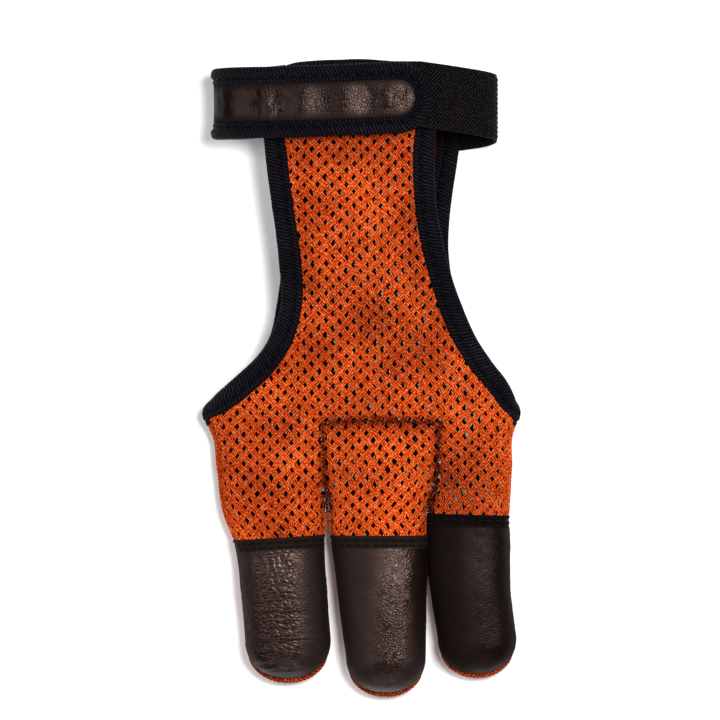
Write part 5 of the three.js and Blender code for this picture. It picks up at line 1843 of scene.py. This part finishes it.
tape_line, tape_up = tab_tape_path()
plain = np.ones(len(tape_line))
side, up = bind("tab_binding", tape_line, tape_up, TAB_TAPE_WIDTH, TAPE_THICKNESS,
                ["wrist_tab_tape"], -plain)
sew("tab_binding_stitches", tape_line - side * 0.72 + up * STITCH_HEIGHT, up)

# %% [markdown]
# ## The elastic
# Webbing woven over rubber threads: ribs run along it. Each rib is a wave across the width in the mesh
# itself, and the crossing weave is a bump, because it is finer than the mesh.

# %% Elastic
ELASTIC_STEP = 0.8
RIB_PITCH = 1.45
ELASTIC_COLUMNS = 85
path, normal, share = loop_path(ELASTIC_SECTION, BACK_TAPE_OUTER_RIGHT, ELASTIC_END, ELASTIC_STEP)
y_middle = ELASTIC_MIDDLE_Y - ELASTIC_DRIFT * np.maximum(0, 1 - ELASTIC_SLANT * share)
widths = np.full(len(path), ELASTIC_WIDTH)
across = np.linspace(0, ELASTIC_WIDTH, ELASTIC_COLUMNS)
ribs = 0.13 * np.cos(2 * math.pi * across / RIB_PITCH)[None, :] - 0.13
selvedge = 0.35 * (1 - smoothstep(0.0, 0.7, np.minimum(across, ELASTIC_WIDTH - across)))[None, :]
top = strap_grid(path, normal, y_middle, widths, ELASTIC_THICKNESS / 2, ELASTIC_COLUMNS, ribs - selvedge)
under = strap_grid(path, normal, y_middle, widths, -ELASTIC_THICKNESS / 2, ELASTIC_COLUMNS, selvedge - ribs)
flat_uv = np.stack(np.meshgrid(np.arange(len(path)) * ELASTIC_STEP, across, indexing="ij"), axis=-1)
make_slab("elastic_webbing", top, under, ELASTIC, ["elastic_strap"], uv=flat_uv)

# %% [markdown]
# ## The closure
# The hook tape under the tab's end hardly shows, so the frame's own plain piece stays and only gets its
# finish. A material slot that belongs to the object, and not to the mesh, leaves the frame's mesh as it is.

# %% Closure
for material_slot in bpy.data.objects["hook_patch"].material_slots:
    material_slot.link = "OBJECT"
    material_slot.material = HOOKS

# %% [markdown]
# ## Stage, light and camera
# A pale table, one broad soft lamp above and to the right for the leather's highlights, a weaker one on the
# left and a bright room. The camera looks straight down, as in a catalogue picture.

# %% Stage
CAMERA_HEIGHT = 1.6
FRAME_WIDTH = 0.2232
FRAME_MIDDLE = (-0.0005, 0.0056)
FRAME_PLANE_Z = 0.009
SENSOR_WIDTH = 36.0
FLOOR_REACH = 2.0
ROOM_STRENGTH = 0.12
AIMED_AT = (0, 0, 0.01)
LAMPS = [
    dict(name="key", place=(0.26, 0.18, 1.00), size=0.30, power=13.5),
    dict(name="fill", place=(-0.60, 0.10, 0.95), size=0.5, power=5.5),
    dict(name="rim", place=(0.0, -1.0, 0.55), size=0.5, power=3.0),
]


def place_floor():
    """Pale board under the glove, wide enough to fill the picture."""
    mesh = bpy.data.meshes.new("floor")
    corners = [(FLOOR_REACH * a, FLOOR_REACH * b, 0) for a, b in ((-1, -1), (1, -1), (1, 1), (-1, 1))]
    mesh.from_pydata(corners, [], [(0, 1, 2, 3)])
    floor = bpy.data.objects.new("floor", mesh)
    bpy.context.scene.collection.objects.link(floor)
    material, _, shade = new_material("white_painted_board")
    shade(Base_Color=linear("#f4f4f4"), Roughness=0.9)
    mesh.materials.append(material)
    floor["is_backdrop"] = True


def place_lamp(name, place, size, power):
    """Area lamp turned towards the glove: tilted by the angle whose tangent is the level distance over the
    height, and turned by the direction in the level plane."""
    light = bpy.data.lights.new(name, "AREA")
    light.size = size
    light.energy = power
    lamp = bpy.data.objects.new(name, light)
    lamp.location = place
    direction = np.array(AIMED_AT) - np.array(place)
    tilt = math.atan2(math.hypot(direction[0], direction[1]), -direction[2])
    lamp.rotation_euler = (tilt, 0, math.atan2(direction[1], direction[0]) - math.pi / 2)
    bpy.context.scene.collection.objects.link(lamp)


def light_room():
    """Even white world, weaker than the lamps."""
    world = bpy.data.worlds.new("bright_room")
    world.use_nodes = True
    background = world.node_tree.nodes["Background"]
    background.inputs["Color"].default_value = linear("#ffffff")
    background.inputs["Strength"].default_value = ROOM_STRENGTH
    bpy.context.scene.world = world
    bpy.context.scene.view_settings.view_transform = "Standard"


def place_camera():
    """Camera that looks straight down. The lens is the sensor's width times the distance to the glove's
    height over the picture's width there."""
    data = bpy.data.cameras.new("camera")
    data.sensor_width = SENSOR_WIDTH
    data.lens = data.sensor_width * (CAMERA_HEIGHT - FRAME_PLANE_Z) / FRAME_WIDTH
    camera = bpy.data.objects.new("camera", data)
    camera.location = (*FRAME_MIDDLE, CAMERA_HEIGHT)
    bpy.context.scene.collection.objects.link(camera)
    bpy.context.scene.camera = camera


place_floor()
for lamp in LAMPS:
    place_lamp(**lamp)
light_room()
place_camera()
print("lamps:", [lamp["name"] for lamp in LAMPS])

# %% [markdown]
# ## Sizes printed
# The dressed glove may be a little larger than the plain solids.

# %% Sizes
low, high = (list(corner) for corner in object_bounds())
print("box before:", cad_low, cad_high, "and now:", low, high)
